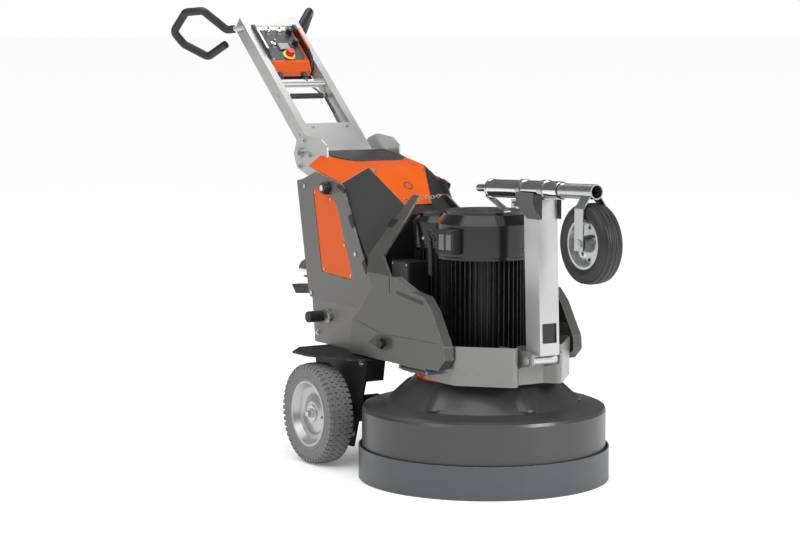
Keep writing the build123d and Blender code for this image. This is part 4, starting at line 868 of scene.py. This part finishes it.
# Corrugated conduit between the terminal box and the main motor's cowl.
loom = bpy.data.curves.new("loom", "CURVE")
loom.dimensions = "3D"
route = [
    (0.424, -0.150, 0.700), (0.424, -0.152, 0.800), (0.428, -0.160, 0.846),
    (0.452, -0.174, 0.858), (0.490, -0.184, 0.848), (0.522, -0.190, 0.836),
]
strand = loom.splines.new("NURBS")
strand.points.add(len(route) - 1)
for point, place in zip(strand.points, route):
    point.co = (*place, 1)
strand.order_u = 3
strand.use_endpoint_u = True
loom.resolution_u = 24
loom_object = bpy.data.objects.new("loom_line", loom)
bpy.context.scene.collection.objects.link(loom_object)
bpy.context.view_layer.update()
loom_ready = loom_object.evaluated_get(bpy.context.evaluated_depsgraph_get())
line_mesh = bpy.data.meshes.new_from_object(loom_ready)
bpy.data.objects.remove(loom_object)
trail = [v.co.copy() for v in line_mesh.vertices]
conduit = bmesh.new()
for i, (a, b) in enumerate(zip(trail, trail[1:])):
    rod(conduit, a, b, 0.0095 if i % 2 else 0.0078, 16)
solid("motor_loom", conduit, black_plastic, "head")

# ---- Weights ------------------------------------------------------------------------------
# Each wing carries a lobed lock knob in a pocket, a hand slot under its top edge, and an arm
# with a square hole; a short chain hangs between the arms' tips.
wing_grey = finish(
    "weight grey powder coat", (0.082, 0.081, 0.077), 0.34, metal=0.3, bump=0.06, dust=0.02, wear=0.2,
    vary=0.06,
)
dress(wing_grey, "weight_right", "weight_left")
wing_face = 0.2836  # outer face of the wing from the machine's middle
# The pocket is drawn as a thin darker plate on the wing's face: painted shade of the recess.
painted_pocket_shade = finish("shaded recess", (0.045, 0.045, 0.043), 0.5, dust=0.03, wear=0.1)
# Outlines given as (X, Z) stand up in the side plane, thick towards the outside.
SIDE_ON = {side: Matrix(((1, 0, 0, 0), (0, 0, side, 0), (0, 1, 0, 0), (0, 0, 0, 1))) for side in (-1, 1)}
for side, body in ((-1, "weight_right"), (1, "weight_left")):
    pocket = bmesh.new()
    scoop_shade = [(0.205, 0.452), (0.262, 0.492), (0.362, 0.492), (0.362, 0.446), (0.300, 0.436)]
    outside = Matrix.Translation((0, side * wing_face, 0)) @ SIDE_ON[side]
    plate(pocket, [(axle_x + x, z) for x, z in scoop_shade], outside, 0.0009)
    solid(f"{body}_scoop", pocket, painted_pocket_shade, body, 0.0003)
    # The hand slot is a thin black plate on the wing's face: painted shade in the opening.
    grab = bmesh.new()
    slot_line = [
        (0.384, 0.650), (0.394, 0.655), (0.560, 0.634), (0.564, 0.624), (0.556, 0.620), (0.390, 0.641),
    ]
    plate(grab, [(axle_x + x, z) for x, z in slot_line], outside, 0.0009)
    solid(f"{body}_hand_slot_shade", grab, black_plastic, body, 0.0003)
    knob = bmesh.new()
    knob_at = at(axle_x + 0.311, side * 0.2846, 0.463, FACING[side])
    rod(knob, knob_at @ Vector((0, 0, 0)), knob_at @ Vector((0, 0, 0.024)), 0.013, 24)
    for k in range(5):
        angle = 2 * math.pi * k / 5
        foot = Vector((0.013 * math.cos(angle), 0.013 * math.sin(angle), 0.010))
        rod(knob, knob_at @ foot, knob_at @ (foot + Vector((0, 0, 0.014))), 0.0075, 16)
    solid(f"{body}_knob", knob, black_plastic, body, 0.002)
    seam = bmesh.new()
    fold_a = Vector((axle_x + 0.112, side * 0.2838, 0.524))
    fold_b = Vector((axle_x + 0.293, side * 0.2838, 0.494))
    rod(seam, fold_a, fold_b, 0.0016, 12)
    rod(seam, fold_b, (axle_x + 0.655, side * 0.2838, 0.500), 0.0016, 12)
    solid(f"{body}_creases", seam, wing_grey, body)
    # The arm's square hole is a thin black block on its face: painted shade in the hole.
    opening = bmesh.new()
    slope = Vector((0, -side * 0.188, 0.202)).normalized()
    out_way = Vector((0, side * 0.202, 0.188)).normalized()
    centre = Vector((axle_x + 0.150, side * 0.148, 0.8612))
    lie = Matrix.Translation(centre) @ Matrix((
        (1, 0, 0, 0), (0, slope.y, out_way.y, 0), (0, slope.z, out_way.z, 0), (0, 0, 0, 1)
    ))
    block(opening, (-0.018, -0.017, 0.002), (0.018, 0.017, 0.0065), lie)
    solid(f"{body}_arm_hole_shade", opening, black_plastic, body, 0.0005)

links = bmesh.new()
for k in range(9):
    share = (k + 0.5) / 9
    y = -0.058 + 0.113 * share
    z = 0.957 - 0.007 * math.sin(math.pi * share)
    tangent = Vector((0, 0.113, -0.007 * math.pi * math.cos(math.pi * share))).normalized()
    turn = tangent.to_track_quat("X", "Z").to_matrix().to_4x4()
    if k % 2:
        turn = turn @ Matrix.Rotation(math.pi / 2, 4, "X")
    lathe(
        links, [(0.0058, -0.0012), (0.0058, 0.0012), (0.0080, 0.0012), (0.0080, -0.0012)],
        at(axle_x + 0.160, y, z, turn) @ Matrix.Diagonal((1.15, 0.8, 1, 1)), 20,
    )
solid("arm_chain", links, zinc, "weight_right")

# ---- Post and jockey wheel ----------------------------------------------------------------
# A folded aluminium post that folds at its foot, with a clamped steel tube. The fork at the
# tube's end holds a pressed wheel with a ribbed tyre.
silver_sheet = finish(
    "satin aluminium", (0.50, 0.50, 0.50), 0.34, metal=0.6, grain=700, bump=0.02, dust=0.0, wear=0.1,
    vary=0.03,
)
dress(silver_sheet, "post")
dress(chrome, "jockey_outer_tube")
dress(zinc, "jockey_inner_tube", "jockey_rim")
dress(black_rubber, "jockey_tyre")
dress(machined, "jockey_spindle")
ahead = Vector(joints["jockey_tube_slide"]["axis"])
up = Vector((-ahead.z, 0, ahead.x))
tube_end = Vector(joints["jockey_spindle_turn"]["pos_m"])
tube_at = Matrix.Translation(tube_end) @ ahead.to_track_quat("Z", "Y").to_matrix().to_4x4()
bracket_dark = finish("dark bracket paint", (0.085, 0.085, 0.083), 0.38, metal=0.3, bump=0.05, dust=0.02)
bracket = bmesh.new()
shadow = bmesh.new()
cheek = [(0.753, 1.008), (0.852, 1.008), (0.852, 0.968), (0.897, 0.922), (0.817, 0.922), (0.753, 0.966)]
# The notch is a thin black plate beside each cheek: painted shadow between the bracket and the post's front
# face.
notch = [(0.852, 1.000), (0.900, 0.998), (0.900, 0.922), (0.852, 0.968)]
for side in (-1, 1):
    upright = Matrix.Translation((axle_x, side * 0.0385, 0)) @ SIDE_ON[side]
    plate(bracket, cheek, upright, 0.003)
    plate(shadow, notch, upright, 0.0015)
solid("post_bracket", bracket, bracket_dark, "post", 0.0008)
solid("post_bracket_painted_shadow", shadow, black_plastic, "post")
# A thin black plate in the post's lock window: painted shade in the opening.
lock_window = bmesh.new()
post_foot = Vector(joints["post_fold"]["pos_m"])
middle = post_foot + ahead * 0.0335 + up * 0.090
lean = Matrix(((ahead.x, 0, up.x, 0), (0, 1, 0, 0), (ahead.z, 0, up.z, 0), (0, 0, 0, 1)))
block(lock_window, (-0.001, -0.034, -0.038), (0.0, 0.034, 0.038), Matrix.Translation(middle) @ lean)
solid("post_window_shade", lock_window, black_plastic, "post")
clamps = bmesh.new()
for distance in (0.181, 0.306):
    band = [
        (0.031, distance), (0.031, distance + 0.026), (0.0345, distance + 0.026), (0.0345, distance),
    ]
    lathe(clamps, band, tube_at, 48)
solid("tube_clamps", clamps, zinc, "post", 0.0005)
strut = bmesh.new()
foot = tube_end - ahead * 0.015 - up * 0.030
heel = tube_end + ahead * 0.089 - up * 0.078
run = (heel - foot).normalized()
strut_place = Matrix.Translation(foot) @ Matrix((
    (run.x, 0, -run.z, 0), (0, 1, 0, 0), (run.z, 0, run.x, 0), (0, 0, 0, 1)
))
block(strut, (-0.01, -0.014, -0.003), ((heel - foot).length, 0.014, 0.003), strut_place)
solid("tube_strut", strut, zinc, "post", 0.001)
handle_bar = bmesh.new()
grip_at = tube_end + ahead * 0.194 - up * 0.052
rod(handle_bar, grip_at + Vector((0, -0.046, 0)), grip_at + Vector((0, 0.046, 0)), 0.0055, 16)
rod(handle_bar, grip_at, grip_at + up * 0.020, 0.007, 16)
rod(handle_bar, grip_at + Vector((0, -0.052, 0)), grip_at + Vector((0, -0.040, 0)), 0.008, 16)
rod(handle_bar, grip_at + Vector((0, 0.040, 0)), grip_at + Vector((0, 0.052, 0)), 0.008, 16)
solid("clamp_bolt", handle_bar, zinc, "post", 0.0006)
crank = bmesh.new()
crank_at = tube_end - ahead * 0.078
rod(crank, crank_at, crank_at - ahead * 0.004, 0.0125, 6)
solid("spindle_nut", crank, zinc, "jockey_spindle", 0.0005)

hub_x, _, hub_z = joints["jockey_wheel_spin"]["pos_m"]
hub_at = at(hub_x, 0, hub_z, FACING[-1])
ribs = bmesh.new()
for across, radius in ((-0.024, 0.1272), (-0.008, 0.1300), (0.008, 0.1300), (0.024, 0.1272)):
    tread = [
        (radius - 0.004, across - 0.006), (radius + 0.0012, across - 0.005),
        (radius + 0.0012, across + 0.005), (radius - 0.004, across + 0.006),
    ]
    lathe(ribs, tread, hub_at, 96)
for across in (-0.0405, 0.0405):
    shoulder = [
        (0.098, across * 0.97), (0.098, across * 1.03), (0.103, across * 1.05), (0.106, across * 0.97),
    ]
    lathe(ribs, shoulder, hub_at, 96)
solid("jockey_tread", ribs, black_rubber, "jockey_wheel", smooth=True)
# The rim's holes are thin black discs on each face: painted shade in the openings.
for face in (-1, 1):
    hole = bmesh.new()
    rod(hole, (0, 0, 0.0058), (0, 0, 0.0066), 0.0065, 20)
    copies(
            f"jockey_rim_holes_{'right' if face < 0 else 'left'}", hole, ring_of, black_plastic,
            "jockey_wheel", place=at(hub_x, 0, hub_z, FACING[face]), Count=8, Radius=0.052, Arc=math.pi / 4,
        )
nuts = bmesh.new()
for face in (-1, 1):
    rod(nuts, (hub_x, face * 0.050, hub_z), (hub_x, face * 0.0565, hub_z), 0.017, 6)
solid("fork_nuts", nuts, zinc, "jockey_slide", 0.0006)
